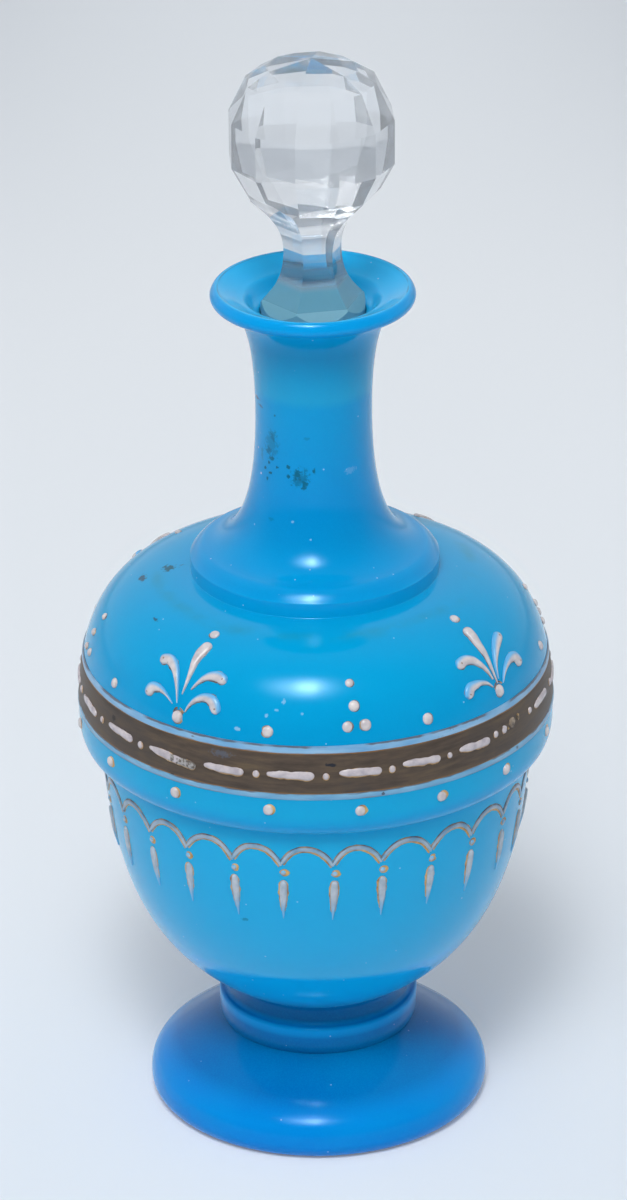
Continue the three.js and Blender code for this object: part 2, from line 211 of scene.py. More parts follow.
def reckon(operation, first, second=0.0, third=0.0):
    """A sum, product or other reckoning of numbers."""
    inputs = {0: first, 1: second, 2: third}
    return put("Math", inputs, operation=operation).outputs[0]


def times(first, second):
    """The product of two numbers."""
    return reckon("MULTIPLY", first, second)


def rise(value, low, high, start=0.0, end=1.0):
    """A soft step of a number from start, at low, to end, at high."""
    inputs = {"Value": value, "From Min": low, "From Max": high, "To Min": start, "To Max": end}
    step = put("MapRange", inputs, interpolation_type="SMOOTHSTEP")
    return step.outputs["Result"]


def blend(share, first, second):
    """A mix of two colours."""
    inputs = {0: share, 6: first, 7: second}
    return put("Mix", inputs, data_type="RGBA").outputs[2]


def cloud(place, scale, detail=3.0, roughness=0.5):
    """A soft random pattern, with scale as its cells in a metre."""
    inputs = {"Vector": place, "Scale": scale, "Detail": detail, "Roughness": roughness}
    return put("TexNoise", inputs).outputs["Fac"]


def ramp(value, stops):
    """A colour from a number, by stops of (number, red, green, blue)."""
    made = put("ValToRGB", {0: value})
    stops = [(position, rgb(*tone)) for position, *tone in stops]
    elements = made.color_ramp.elements
    elements[0].position, elements[0].color = stops[0]
    elements[1].position, elements[1].color = stops[-1]
    for position, colour in stops[1:-1]:
        elements.new(position).color = colour
    return made.outputs["Color"]


def bumps(height, strength, depth):
    """The way out of a surface whose small bumps follow a pattern, depth metres deep."""
    inputs = {"Strength": strength, "Distance": depth, "Height": height}
    return put("Bump", inputs).outputs[0]


def surface(colour, roughness, normal=None, **values):
    """The shader that ends a finish, with its even values set on its own sockets."""
    inputs = {"Base Color": colour, "Roughness": roughness, "IOR": glass_index}
    inputs.update({name.replace("_", " "): value for name, value in values.items()})
    if normal is not None:
        inputs["Normal"] = normal
    shader = put("BsdfPrincipled", inputs)
    put("OutputMaterial", {"Surface": shader.outputs[0]})


def specked(place, colour, scale, edge, rarity, strength, tone):
    """Lays specks over a colour, scale cells in a metre. A cell has one by chance over rarity."""
    cells = put("TexVoronoi", {"Vector": place, "Scale": scale}).outputs
    speck = rise(cells["Distance"], *edge, 1.0, 0.0)
    chance = put("SeparateColor", {0: cells["Color"]}).outputs[0]
    speck = times(speck, reckon("GREATER_THAN", chance, rarity))
    return blend(times(speck, strength), colour, tone)


def stained(place, colour, stains):
    """Lays stains and chips over a colour. Stains are groups of (tone, spots).

    A spot is (degrees round the glass, height, radius, width, tallness, strength).
    """
    ragged = rise(cloud(place, 1100, 4, 0.65), 0.3, 0.7, -0.45, 0.45)
    spots = [(rgb(*tone), *spot) for tone, group in stains for spot in group]
    for tone, degrees, height, radius, wide, tall, strength in spots:
        turn = math.radians(degrees)
        aside = Vector((math.cos(turn), math.sin(turn), 0))
        out = Vector((math.sin(turn), -math.cos(turn), 0))
        facing = Matrix((aside, Vector((0, 0, 1)), out)).transposed().to_euler()
        local = put("Mapping", {
            "Vector": place,
            "Location": round_axis(turn, radius, height),
            "Rotation": facing,
            "Scale": (wide / 2 * mm, tall / 2 * mm, stain_reach * mm),
        }, vector_type="TEXTURE")
        uneven = reckon("ADD", size_of(local.outputs[0]), ragged)
        cover = rise(uneven, 0.55, 1.05, strength, 0.0)
        colour = blend(cover, colour, tone)
    return colour


def opaline(name, tones, gloss, marks=None):
    """Azure opaline glass. Tones are stops of (height, red, green, blue), which on some pieces also
    hold painted light and shade by height. Marks adds stains.
    """
    finish, place = new_finish(name)
    height = height_of(place)
    share = reckon("DIVIDE", height, total_height * mm)
    colour = ramp(share, [(level / total_height, *tone) for level, *tone in tones])
    milk = rise(cloud(place, 28, 4), 0.4, 0.75, 0.0, 0.16)
    colour = blend(milk, colour, rgb(6, 166, 220))
    grain = rise(cloud(place, 2600, 2), 0.35, 0.7, 0.0, 0.08)
    colour = blend(grain, colour, rgb(16, 172, 226))
    colour = specked(place, colour, 270, (0.025, 0.07), 0.5, 0.45, rgb(200, 226, 240))
    if marks:
        colour = marks(place, height, colour)
    smears = rise(cloud(place, 55, 5, 0.6), 0.35, 0.8, 0.1, 0.2)
    ripples = bumps(cloud(place, 45, 2), 0.06, 0.0012)
    surface(
        colour, smears, ripples,
        Specular_IOR_Level=gloss, Specular_Tint=(0.45, 0.72, 1.0, 1.0),
        Subsurface_Weight=0.15, Subsurface_Radius=(0.4, 0.9, 1.0), Subsurface_Scale=0.004,
        Sheen_Weight=0.1, Sheen_Roughness=0.4, Sheen_Tint=(0.15, 0.8, 1.0, 1.0),
    )
    return finish


foot_edge = Vector((foot_radius - foot_rim_round, foot_rim_height + foot_rim_round * 0.6))
foot_seat = Vector((seat_radius, foot_height))


def foot_dome(share, rise_above=0.0):
    """A point over the straight line from the foot's rim to its seat."""
    return foot_edge.lerp(foot_seat, share) + Vector((0, rise_above))


foot_profile = profile(
    (0, foot_hollow_depth),
    (rest_inner_radius - foot_hollow_edge, foot_hollow_edge_depth),
    (rest_inner_radius, 0),
    (rest_outer_radius, 0),
    [(foot_radius - foot_heel_tuck, 0), (foot_radius, foot_heel_rise * 0.6),
     (foot_radius, foot_heel_rise + 0.4)],
    [(foot_radius, foot_rim_height - foot_rim_round * 0.6),
     (foot_radius - foot_rim_round * 0.4, foot_rim_height), foot_edge],
    [foot_dome(0.4, foot_dome_rise), foot_dome(0.75, foot_dome_rise * 0.6), foot_dome(1)],
    (0, foot_height),
)
# Painted shade: the dome, from about 13 mm up, is painted darker for the shade that the bowl casts
# on it.
foot_glass = opaline("foot_glass", [
    (0, 0, 120, 204), (8, 0, 130, 206), (10.5, 0, 122, 198),
    (13, 0, 101, 170), (19, 0, 103, 164),
], gloss=0.22)
piece("pressed_foot", turned(foot_profile), [foot_glass], ["foot"])


# Stem collar: a short solid stem between foot and bowl, tooled with one rounded ring.
# It was drawn from the same gather while hot, so its ends run into the foot and the bowl.

collar_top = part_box("stem_collar")[1].z / mm
collar_foot_radius = 22.3
collar_foot_sink = 0.25
collar_radius = 23.0
collar_from = foot_height + 1.4
collar_to = foot_height + 6.7
collar_round = 1.0
collar_waist_radius = 21.1
collar_waist_from = foot_height + 8.1

collar_profile = profile(
    (0, foot_height),
    (seat_radius, foot_height),
    (collar_foot_radius, foot_height - collar_foot_sink),
    [(collar_radius - 0.3, collar_from - 1.0), (collar_radius, collar_from - 0.5),
     (collar_radius, collar_from + collar_round), 8],
    (collar_radius, collar_to - collar_round),
    [(collar_radius, collar_to - collar_round * 0.3),
     (collar_radius - collar_round * 0.4, collar_to),
     (collar_radius - collar_round, collar_to), 8],
    [(collar_waist_radius, collar_to + 0.2), (collar_waist_radius, collar_waist_from),
     (collar_waist_radius, collar_waist_from + 1.0), 8],
    (collar_waist_radius, collar_top - 2.0),
    [(collar_waist_radius, collar_top - 1.0), (seat_radius - 0.2, collar_top - 0.4),
     (seat_radius, collar_top), 6],
    (0, collar_top),
)
# Painted light and shade: a lighter band where light falls on the ring's upper edge, and darker
# tones below it and on the waist, where the bowl shades it.
collar_glass = opaline("collar_glass", [
    (18, 0, 96, 156), (20.6, 0, 98, 158), (23.2, 0, 106, 176),
    (24.2, 0, 146, 214), (25.5, 0, 146, 214), (26.8, 0, 92, 150),
    (31, 0, 98, 158),
], gloss=0.16)
piece("tooled_collar", turned(collar_profile), [collar_glass], ["stem_collar"])


# Body: the blown bowl, the belt that stands out over it, and the shoulder up to the neck's seat.
# Its wall is about 4 mm thick and lets light through, so it looks paler than the solid glass
# of its base, which starts at one level all round, where the hollow inside ends.

bowl_height = 59.6
bowl_rim_radius = 49.0
bowl_lean = 0.532
bowl_sweep = 0.364
bowl_fullness = 0.514
bowl_rim_lean = 1.2
belt_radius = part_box("body")[1].x / mm
belt_rise = 8.0
belt_undercut = 3.4
belt_tuck = 0.7
shoulder_height = 35.4
shoulder_fullness = 0.57
shoulder_crown = 0.81
shoulder_fall = 1.0
skirt_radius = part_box("neck")[1].x / mm + 0.4
skirt_foot = 0.5
skirt_drop = 0.7
body_wall = 4.0
shoulder_wall = 3.2
floor_thickness = 13.6
cavity_crown = 0.95
cavity_shoulder = 0.5
cavity_side = 0.22
cavity_floor = 0.6
bore_radius = 9.9
bowl_z = collar_top
crease_z = bowl_z + bowl_height
belt_z = crease_z + belt_rise
neck_z = belt_z + shoulder_height
skirt_low_z = neck_z - skirt_drop
base_level = 47.6
greenish_ring_radius = 35.8
stain_green = (0, 82, 98)
chip_dark = (38, 62, 76)
fleck_white = (196, 222, 238)
body_stains = [
    (chip_dark, [(-59.4, 129.4, 41.8, 2.3, 0.4, 0.8), (-88.4, 130.5, 39.5, 3.6, 0.8, 0.85)]),
    (stain_green, [(-90.6, 132.2, 34.9, 4.0, 0.8, 0.95)]),
    (chip_dark, [(-92.0, 132.6, 33.6, 1.4, 0.7, 0.8)]),
    (fleck_white, [
        (-8.3, 122.2, 49.2, 0.9, 1.2, 0.3), (-10.0, 120.5, 50.1, 0.9, 0.6, 0.3),
        (-12.4, 119.3, 50.7, 0.9, 0.8, 0.35), (-3.5, 120.0, 50.4, 0.7, 0.6, 0.3),
        (-19.3, 115.8, 52.0, 1.7, 0.9, 0.4), (48.5, 130.7, 44.0, 0.8, 0.8, 0.3),
    ]),
    (stain_green, [(-21.0, 65.1, 45.9, 1.8, 1.0, 0.5)]),
]

bowl_reach = bowl_height * bowl_sweep
body_outline = profile(
    (seat_radius, bowl_z),
    [(seat_radius + bowl_reach * math.cos(bowl_lean), bowl_z + bowl_reach * math.sin(bowl_lean)),
     (bowl_rim_radius - bowl_rim_lean, crease_z - bowl_height * bowl_fullness),
     (bowl_rim_radius, crease_z), 48],
    [(belt_radius - belt_tuck, crease_z + belt_tuck), (belt_radius, crease_z + belt_undercut),
     (belt_radius, belt_z), 24],
    [(belt_radius, belt_z + shoulder_height * shoulder_fullness),
     (skirt_radius + (belt_radius - skirt_radius) * shoulder_crown, skirt_low_z - shoulder_fall),
     (skirt_radius - skirt_foot, skirt_low_z), 48],
)
inner_rim = bowl_rim_radius - body_wall
inner_belt = belt_radius - body_wall
floor_z = bowl_z + floor_thickness
cavity = profile(
    (bore_radius, neck_z - shoulder_wall),
    [(inner_belt * cavity_crown, neck_z - shoulder_wall),
     (inner_belt, belt_z + shoulder_height * cavity_shoulder), (inner_belt, belt_z)],
    [(inner_belt, crease_z + belt_tuck * 2), (inner_rim, crease_z + belt_tuck * 2),
     (inner_rim, crease_z - belt_rise), 8],
    [(inner_rim, floor_z + (crease_z - floor_z) * cavity_side),
     (inner_rim * cavity_floor, floor_z), (0, floor_z)],
)


def reach_of(place):
    """How far a place lies from the axis."""
    flat = put("VectorMath", {0: place, 1: (1, 1, 0)}, operation="MULTIPLY")
    return size_of(flat.outputs[0])


def near(value, middle, width, strength=1.0):
    """Strength where a number is at a middle value, falling softly to 0 at width from it."""
    away = reckon("ABSOLUTE", reckon("SUBTRACT", value, middle))
    return rise(away, 0.0, width, strength, 0.0)


def shoulder_marks(place, height, colour):
    """A faint, patchy greenish ring on the shoulder round the neck's skirt, and the body's stains.
    """
    ring = near(reach_of(place), greenish_ring_radius * mm, 0.0028)
    up = rise(height, (neck_z - 8) * mm, (neck_z - 4) * mm)
    patchy = rise(cloud(place, 60, 4, 0.6), 0.42, 0.62)
    mark_share = times(times(ring, up), patchy)
    colour = blend(times(mark_share, 0.5), colour, rgb(30, 134, 158))
    return stained(place, colour, body_stains)


# Painted light and shade: darker at the very bottom next to the stem, as painted shade, and lighter
# just under the crease, as painted light against the belt's shadow.
body_glass = opaline("body_glass", [
    (30, 0, 142, 210), (38, 0, 166, 230),
    (base_level - 0.6, 0, 168, 231), (base_level + 0.6, 34, 171, 223),
    (70, 30, 165, 215), (crease_z - 9, 26, 166, 216), (crease_z - 3, 26, 177, 226),
    (crease_z + 3, 0, 153, 213), (crease_z + 6, 12, 161, 209),
    (112, 0, 143, 196), (124, 0, 150, 200), (134, 0, 149, 200),
], gloss=0.36, marks=shoulder_marks)
body_profile = profile((0, bowl_z), *body_outline, (bore_radius, skirt_low_z), *cavity)
piece("blown_body", turned(body_profile), [body_glass], ["body"])


# Neck: a drawn tube that flares down to a skirt on the shoulder and up to a wide dished lip.
# The mouth is ground inside for the peg, and the ground zone shows through as a paler band.

skirt_edge = 2.8
skirt_round = 0.4
skirt_fillet = 0.2
skirt_top = 5.4
skirt_top_inset = 3.0
neck_radius = 13.1
neck_waist_z = neck_z + 37.6
flare_reach = 6.2
flare_rise = 0.9
waist_reach = 25.0
throat_fullness = 0.42
throat_reach = 1.0
lip_under_z = neck_z + 63.7
crest_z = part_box("neck")[1].z / mm
lip_under_radius = 20.8
lip_radius = 22.8
lip_edge_fall = 1.1
crest_radius = 21.5
dish_radius = 15.7
dish_depth = 2.4
throat_radius = 13.6
throat_depth = 4.6
mouth_z = crest_z - 5.8
mouth_round = 0.6
ground_top_radius = 11.96
ground_bottom_radius = 10.95
ground_bottom_z = 176.0

neck_profile = profile(
    (bore_radius, skirt_low_z),
    (skirt_radius - skirt_foot, skirt_low_z),
    (skirt_radius + skirt_fillet, skirt_low_z - 0.1),
    [(skirt_radius + skirt_fillet * 0.2, skirt_low_z),
     (skirt_radius, skirt_low_z + skirt_fillet * 0.3),
     (skirt_radius, skirt_low_z + skirt_fillet), 6],
    (skirt_radius, neck_z + skirt_edge - skirt_round),
    [(skirt_radius, neck_z + skirt_edge - skirt_round * 0.5),
     (skirt_radius, neck_z + skirt_edge - skirt_round * 0.2),
     (skirt_radius - skirt_round * 0.4, neck_z + skirt_edge + skirt_round * 0.2), 6],
    [(skirt_radius - skirt_top_inset * 0.25, neck_z + skirt_edge + 0.95),
     (skirt_radius - skirt_top_inset * 0.64, neck_z + skirt_top - 0.3),
     (skirt_radius - skirt_top_inset, neck_z + skirt_top), 12],
    [(skirt_radius - skirt_top_inset - flare_reach, neck_z + skirt_top + flare_rise),
     (neck_radius, neck_waist_z - waist_reach), (neck_radius, neck_waist_z), 40],
    [(neck_radius, neck_waist_z + (lip_under_z - neck_waist_z) * throat_fullness),
     (neck_radius + throat_reach, lip_under_z), (lip_under_radius, lip_under_z), 40],
    [(lip_radius, lip_under_z + 0.2), (lip_radius + 0.5, crest_z - lip_edge_fall - 1.0),
     (lip_radius - 0.1, crest_z - lip_edge_fall), 16],
    [(lip_radius - 0.4, crest_z - lip_edge_fall * 0.45), (crest_radius + 0.6, crest_z),
     (crest_radius, crest_z), 10],
    [(crest_radius - 0.4, crest_z), (crest_radius - 0.7, crest_z - 0.25),
     (crest_radius - 1.1, crest_z - 0.45), 8],
    [(crest_radius - 2.9, crest_z - 1.25), (dish_radius + 1.6, crest_z - dish_depth + 0.35),
     (dish_radius, crest_z - dish_depth), 16],
    [(dish_radius - 0.9, crest_z - dish_depth - 0.3),
     (throat_radius + 0.7, crest_z - throat_depth + 0.7),
     (throat_radius, crest_z - throat_depth), 10],
    [(throat_radius - 0.6, crest_z - throat_depth - 0.6),
     (ground_top_radius + mouth_round, mouth_z + mouth_round), (ground_top_radius, mouth_z), 8],
    (ground_bottom_radius, ground_bottom_z),
    (bore_radius, ground_bottom_z - mouth_round),
)

speck_pink = (206, 206, 214)
neck_stains = [
    (chip_dark, [(-74.5, 175.9, 13.1, 4.6, 0.8, 0.85), (-64.0, 174.6, 13.1, 3.0, 0.6, 0.7)]),
    (stain_green, [
        (-41.4, 173.9, 13.2, 0.7, 0.6, 0.8), (-46.5, 166.6, 13.1, 4.4, 6.6, 0.36),
        (-43.0, 169.0, 13.1, 2.0, 2.6, 0.45), (-49.5, 165.0, 13.1, 2.4, 2.4, 0.5),
        (-44.8, 163.4, 13.1, 1.6, 1.0, 0.7), (-48.4, 162.2, 13.1, 1.0, 0.9, 0.9),
        (-53.8, 160.6, 13.2, 0.9, 0.8, 0.9), (-37.8, 161.7, 13.1, 1.0, 0.9, 0.9),
        (-46.4, 159.9, 13.2, 1.1, 0.7, 0.9), (-49.9, 158.2, 13.3, 0.9, 1.1, 0.9),
        (-60.0, 163.4, 13.2, 1.2, 3.6, 0.35), (-13.1, 160.0, 13.2, 4.2, 4.8, 0.55),
        (-15.4, 161.0, 13.2, 1.8, 3.4, 0.6), (-9.0, 158.6, 13.3, 1.8, 2.6, 0.6),
        (-25.3, 162.4, 13.1, 1.0, 0.9, 0.85), (-25.2, 160.2, 13.2, 1.0, 1.1, 0.85),
        (-21.8, 158.3, 13.3, 0.6, 0.5, 0.6), (0.1, 161.9, 13.1, 0.8, 1.7, 0.85),
        (-7.1, 169.6, 13.1, 1.6, 0.8, 0.3), (-39.0, 149.6, 15.6, 2.0, 0.9, 0.3),
    ]),
    (speck_pink, [(-69.3, 164.1, 13.1, 0.7, 0.6, 0.8), (-59.8, 158.7, 13.3, 0.6, 0.5, 0.7)]),
    (fleck_white, [
        (37.3, 160.9, 13.2, 3.2, 1.6, 0.13), (-18.6, 150.1, 15.5, 0.7, 0.5, 0.35),
        (-3.2, 146.6, 17.2, 0.6, 0.5, 0.35), (-55.7, 147.2, 16.8, 0.6, 0.5, 0.35),
    ]),
]


def neck_marks(place, height, colour):
    """The stains on the neck, the lip's solid outer edge, and a worn line along its crest."""
    reach = reach_of(place)
    outer = rise(reach, (crest_radius - 0.2) * mm, (crest_radius + 0.5) * mm)
    up = rise(height, lip_under_z * mm, (lip_under_z + 1) * mm)
    colour = blend(times(outer, up), colour, rgb(2, 148, 212))
    crest = near(reach, (crest_radius - 0.3) * mm, 0.0003, 0.6)
    crest = times(crest, rise(cloud(place, 90, 3), 0.42, 0.6))
    colour = blend(times(crest, up), colour, rgb(40, 96, 132))
    return stained(place, colour, neck_stains)


neck_glass = opaline("neck_glass", [
    (134, 0, 156, 212), (136, 0, 152, 210), (136.8, 0, 138, 199), (139, 0, 142, 200),
    (146, 0, 134, 193), (156, 0, 136, 198),
    (ground_bottom_z + 0.4, 0, 145, 201), (ground_bottom_z + 2.6, 26, 155, 200),
    (mouth_z - 6, 6, 144, 194), (crest_z - 3.4, 4, 166, 224), (crest_z - 0.5, 20, 173, 229),
], gloss=0.4, marks=neck_marks)
piece("drawn_neck", turned(neck_profile, ring=True), [neck_glass], ["neck"])


# Gilt band: worn gold leaf round the foot of the shoulder, rubbed down to a dark bronze brown.
# It is burnished on the glass, with an ochre edge showing along both enamel lines.

gilding_thickness = 0.1
band_low_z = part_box("gilt_band")[0].z / mm
band_high_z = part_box("gilt_band")[1].z / mm + 0.3
sunk = 0.05
ring_steps = 10
band_round = 0.2
gilding_stains = [
    ((84, 100, 122), [(-23.0, 109.9, 53.3, 5.6, 1.7, 0.45)]),
    ((38, 34, 34), [(-57.8, 108.7, 53.5, 1.8, 1.4, 0.8)]),
    ((42, 38, 38), [(-36.4, 101.9, 54.0, 1.8, 0.8, 0.8)]),
    ((30, 36, 46), [(3.4, 109.0, 53.4, 2.6, 0.9, 0.95)]),
    ((40, 110, 160), [(-53.5, 101.9, 54.0, 1.2, 0.8, 0.8)]),
    ((42, 38, 38), [(128.0, 107.0, 53.6, 2.4, 0.9, 0.7), (215.0, 104.0, 53.9, 1.6, 1.1, 0.7)]),
]

outline_lengths = [0.0]
for before, after in zip(body_outline, body_outline[1:]):
    outline_lengths.append(outline_lengths[-1] + (after - before).length)


def step_to(values, value):
    """The number of the first of some rising values, after the first one, that reaches a value."""
    i = 1
    while i < len(values) - 1 and values[i] < value:
        i += 1
    return i


def length_at(height):
    """How far up the glass's outline a height lies."""
    heights = [point.y for point in body_outline]
    i = step_to(heights, height)
    share = (height - heights[i - 1]) / (heights[i] - heights[i - 1])
    return outline_lengths[i - 1] + (outline_lengths[i] - outline_lengths[i - 1]) * share


def glass_at(length):
    """The radius, the height and the way out of the glass at a length up its outline."""
    i = step_to(outline_lengths, length)
    low, high = body_outline[i - 1], body_outline[i]
    step = outline_lengths[i] - outline_lengths[i - 1]
    place = low.lerp(high, (length - outline_lengths[i - 1]) / step)
    along = (high - low).normalized()
    return place.x, place.y, Vector((along.y, -along.x))


def glass_between(low, high, lift):
    """The stretch of the outline between two heights, moved out by a lift."""
    start, end = length_at(low), length_at(high)
    points = []
    for i in range(ring_steps + 1):
        radius, height, out = glass_at(start + (end - start) * i / ring_steps)
        points.append(Vector((radius, height)) + out * lift)
    return points


def ring_shape(low, high, relief, edge):
    """A ring laid round the glass between two heights, with a soft edge above and below."""
    face = [
        *glass_between(low, low + edge * 0.35, relief * 0.55)[::ring_steps],
        *glass_between(low + edge, high - edge, relief),
        *glass_between(high - edge * 0.35, high, relief * 0.55)[::ring_steps],
    ]
    back = glass_between(low, high, -sunk)
    return turned([*face, *back[::-1]], ring=True)


def drawn_out(place, *stretch):
    """A place whose patterns are drawn out round the glass."""
    return put("Mapping", {"Vector": place, "Scale": stretch}).outputs[0]


def worn_gilding():
    """Gold leaf worn to bronze brown, with ochre along both edges and a few rubbed places."""
    finish, place = new_finish("worn_gilding")
    streaks = cloud(drawn_out(place, 0.22, 0.22, 1.5), 420, 5, 0.65)
    colour = ramp(streaks, [(0.3, 64, 54, 46), (0.5, 83, 70, 59), (0.72, 102, 86, 66)])
    rubbed = rise(cloud(place, 70, 4, 0.6), 0.48, 0.66, 0.0, 0.45)
    colour = blend(rubbed, colour, rgb(66, 60, 58))
    ragged = rise(cloud(place, 200, 3), 0.2, 0.8, -0.00012, 0.00012)
    uneven = reckon("ADD", height_of(place), ragged)
    lower = rise(uneven, (band_low_z + 0.1) * mm, (band_low_z + 0.35) * mm, 1.0, 0.0)
    upper = rise(uneven, (band_high_z - 0.3) * mm, (band_high_z - 0.1) * mm)
    colour = blend(times(reckon("MAXIMUM", lower, upper), 0.7), colour, rgb(150, 108, 62))
    colour = stained(place, colour, gilding_stains)
    roughness = rise(streaks, 0.3, 0.75, 0.36, 0.52)
    surface(
        colour, roughness, bumps(streaks, 0.2, 0.0003), Metallic=0.12, Specular_IOR_Level=0.3
    )
    return finish


band_shape = ring_shape(band_low_z, band_high_z, gilding_thickness, band_round)
piece("gilt_band_ring", band_shape, [worn_gilding()], ["gilt_band"])


# Enamel lines: one pale blue line above the gilt band and a thinner one below it.
# Each was run on in wet enamel with the glass turning, and is chipped here and there.

upper_line_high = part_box("upper_enamel_line")[1].z / mm
lower_line_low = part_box("lower_enamel_line")[0].z / mm
line_relief = 0.24
upper_line_round = 0.45
lower_line_round = 0.35
upper_line_edge = 0.3
upper_tones = [(0.3, 98, 154, 196), (0.55, 124, 170, 204), (0.8, 152, 186, 212)]
lower_tones = [(0.3, 94, 150, 188), (0.55, 112, 164, 196), (0.8, 142, 182, 208)]
line_chips = [
    ((70, 76, 84), [(13.8, 102.2, 54.0, 2.4, 0.5, 0.85)]),
    ((52, 58, 68), [(15.7, 101.2, 54.1, 0.8, 0.8, 0.85)]),
    ((60, 60, 66), [(56.1, 101.5, 54.0, 1.2, 0.9, 0.8)]),
    ((96, 92, 92), [(-31.0, 112.4, 53.0, 1.4, 0.5, 0.7)]),
]


def line_enamel(name, low, high, tones, edge=0.15):
    """Pale blue enamel between two heights, with chips and a broken dark line on its edges."""
    finish, place = new_finish(name)
    body = cloud(drawn_out(place, 0.3, 0.3, 1.4), 420, 4)
    colour = ramp(body, tones)
    ragged = rise(cloud(place, 260, 3), 0.2, 0.8, -0.00016, 0.00016)
    uneven = reckon("ADD", height_of(place), ragged)
    top = rise(uneven, (high - edge - 0.15) * mm, (high - edge) * mm)
    foot = rise(uneven, (low + 0.08) * mm, (low + 0.24) * mm, 1.0, 0.0)
    dark = times(top, rise(cloud(place, 80, 3), 0.42, 0.52))
    colour = blend(times(dark, 0.8), colour, rgb(84, 74, 76))
    warm = times(foot, rise(cloud(place, 75, 2), 0.4, 0.6))
    colour = blend(times(warm, 0.6), colour, rgb(140, 108, 78))
    fine_chips = rise(cloud(place, 900, 4, 0.6), 0.64, 0.7)
    chips = times(fine_chips, rise(cloud(place, 60, 2), 0.56, 0.68))
    colour = blend(times(chips, 0.7), colour, rgb(64, 74, 88))
    colour = stained(place, colour, line_chips)
    surface(colour, 0.28, bumps(body, 0.15, 0.0002))
    return finish


upper_enamel = line_enamel(
    "upper_line_enamel", band_high_z, upper_line_high, upper_tones, upper_line_edge
)
lower_enamel = line_enamel("lower_line_enamel", lower_line_low, band_low_z, lower_tones)
upper_shape = ring_shape(band_high_z, upper_line_high, line_relief, upper_line_round)
lower_shape = ring_shape(lower_line_low, band_low_z, line_relief, lower_line_round)
piece("upper_line", upper_shape, [upper_enamel], ["upper_enamel_line"])
piece("lower_line", lower_shape, [lower_enamel], ["lower_enamel_line"])


# Dashes and beads: white enamel piped on the gilt band by hand, a dash and a bead in turn.
# Each dash starts fine and ends round, and its gilt lining shows along its lower edge. One
# dash is rubbed grey over half its length, and one has chipped away to a stub.

dash_count = 22
dash_width = 1.85
dash_relief = 0.42
bead_width = 1.5
bead_tallness = 1.1
lining_layer = 1
lining_spread = 1.12
lining_relief = 0.06
lining_drop = 0.1
stroke_sides = 9
steps_to_station = 6
least_share = 0.04
dome_bluntness = 0.7
waver_scale = 900
hand = random.Random(11)
front_dashes = [
    (-71.3, 9.2, 0.0, -0.6), (-54.5, 9.4, 0.0, -0.3), (-36.7, 13.0, 0.0, -1.3),
    (-22.5, 9.6, -0.2, -0.5), (-6.2, 10.7, -0.1, -0.3), (10.4, 9.7, 0.3, 0.1),
    (25.7, 9.4, 0.7, 0.2), (41.0, 9.2, 0.6, 0.1), (51.3, 1.6, 0.8, 0.8), (70.3, 8.4, 0.7, 1.1),
]
front_beads = [
    (-63.0, -0.4), (-46.6, -0.6), (-14.4, -0.4), (2.2, -0.4), (18.1, 0.0),
    (33.3, 0.2), (48.1, 0.8), (63.1, 1.0), (79.9, 0.9),
]
worn_dash = 2


def on_glass(angle, length, lift):
    """A point laid on the glass, in metres, and the way out of the glass there."""
    radius, height, out = glass_at(length)
    place = round_axis(angle, radius + out.x * lift, height + out.y * lift)
    return place, round_axis(angle, out.x, out.y).normalized()


def smooth_path(stations, steps):
    """Points of an even curve through stations, closer together near both ends."""
    spans = len(stations) - 1
    points = []
    for i in range(steps + 1):
        t = (1 - math.cos(math.pi * i / steps)) / 2 * spans
        k = min(int(t), spans - 1)
        t -= k
        a, b = stations[max(k - 1, 0)], stations[k]
        c, d = stations[k + 1], stations[min(k + 2, spans)]
        curve = a * 2 - b * 5 + c * 4 - d + ((b - c) * 3 + d - a) * t
        points.append(b + (c - a + curve * t) * (t / 2))
    return points


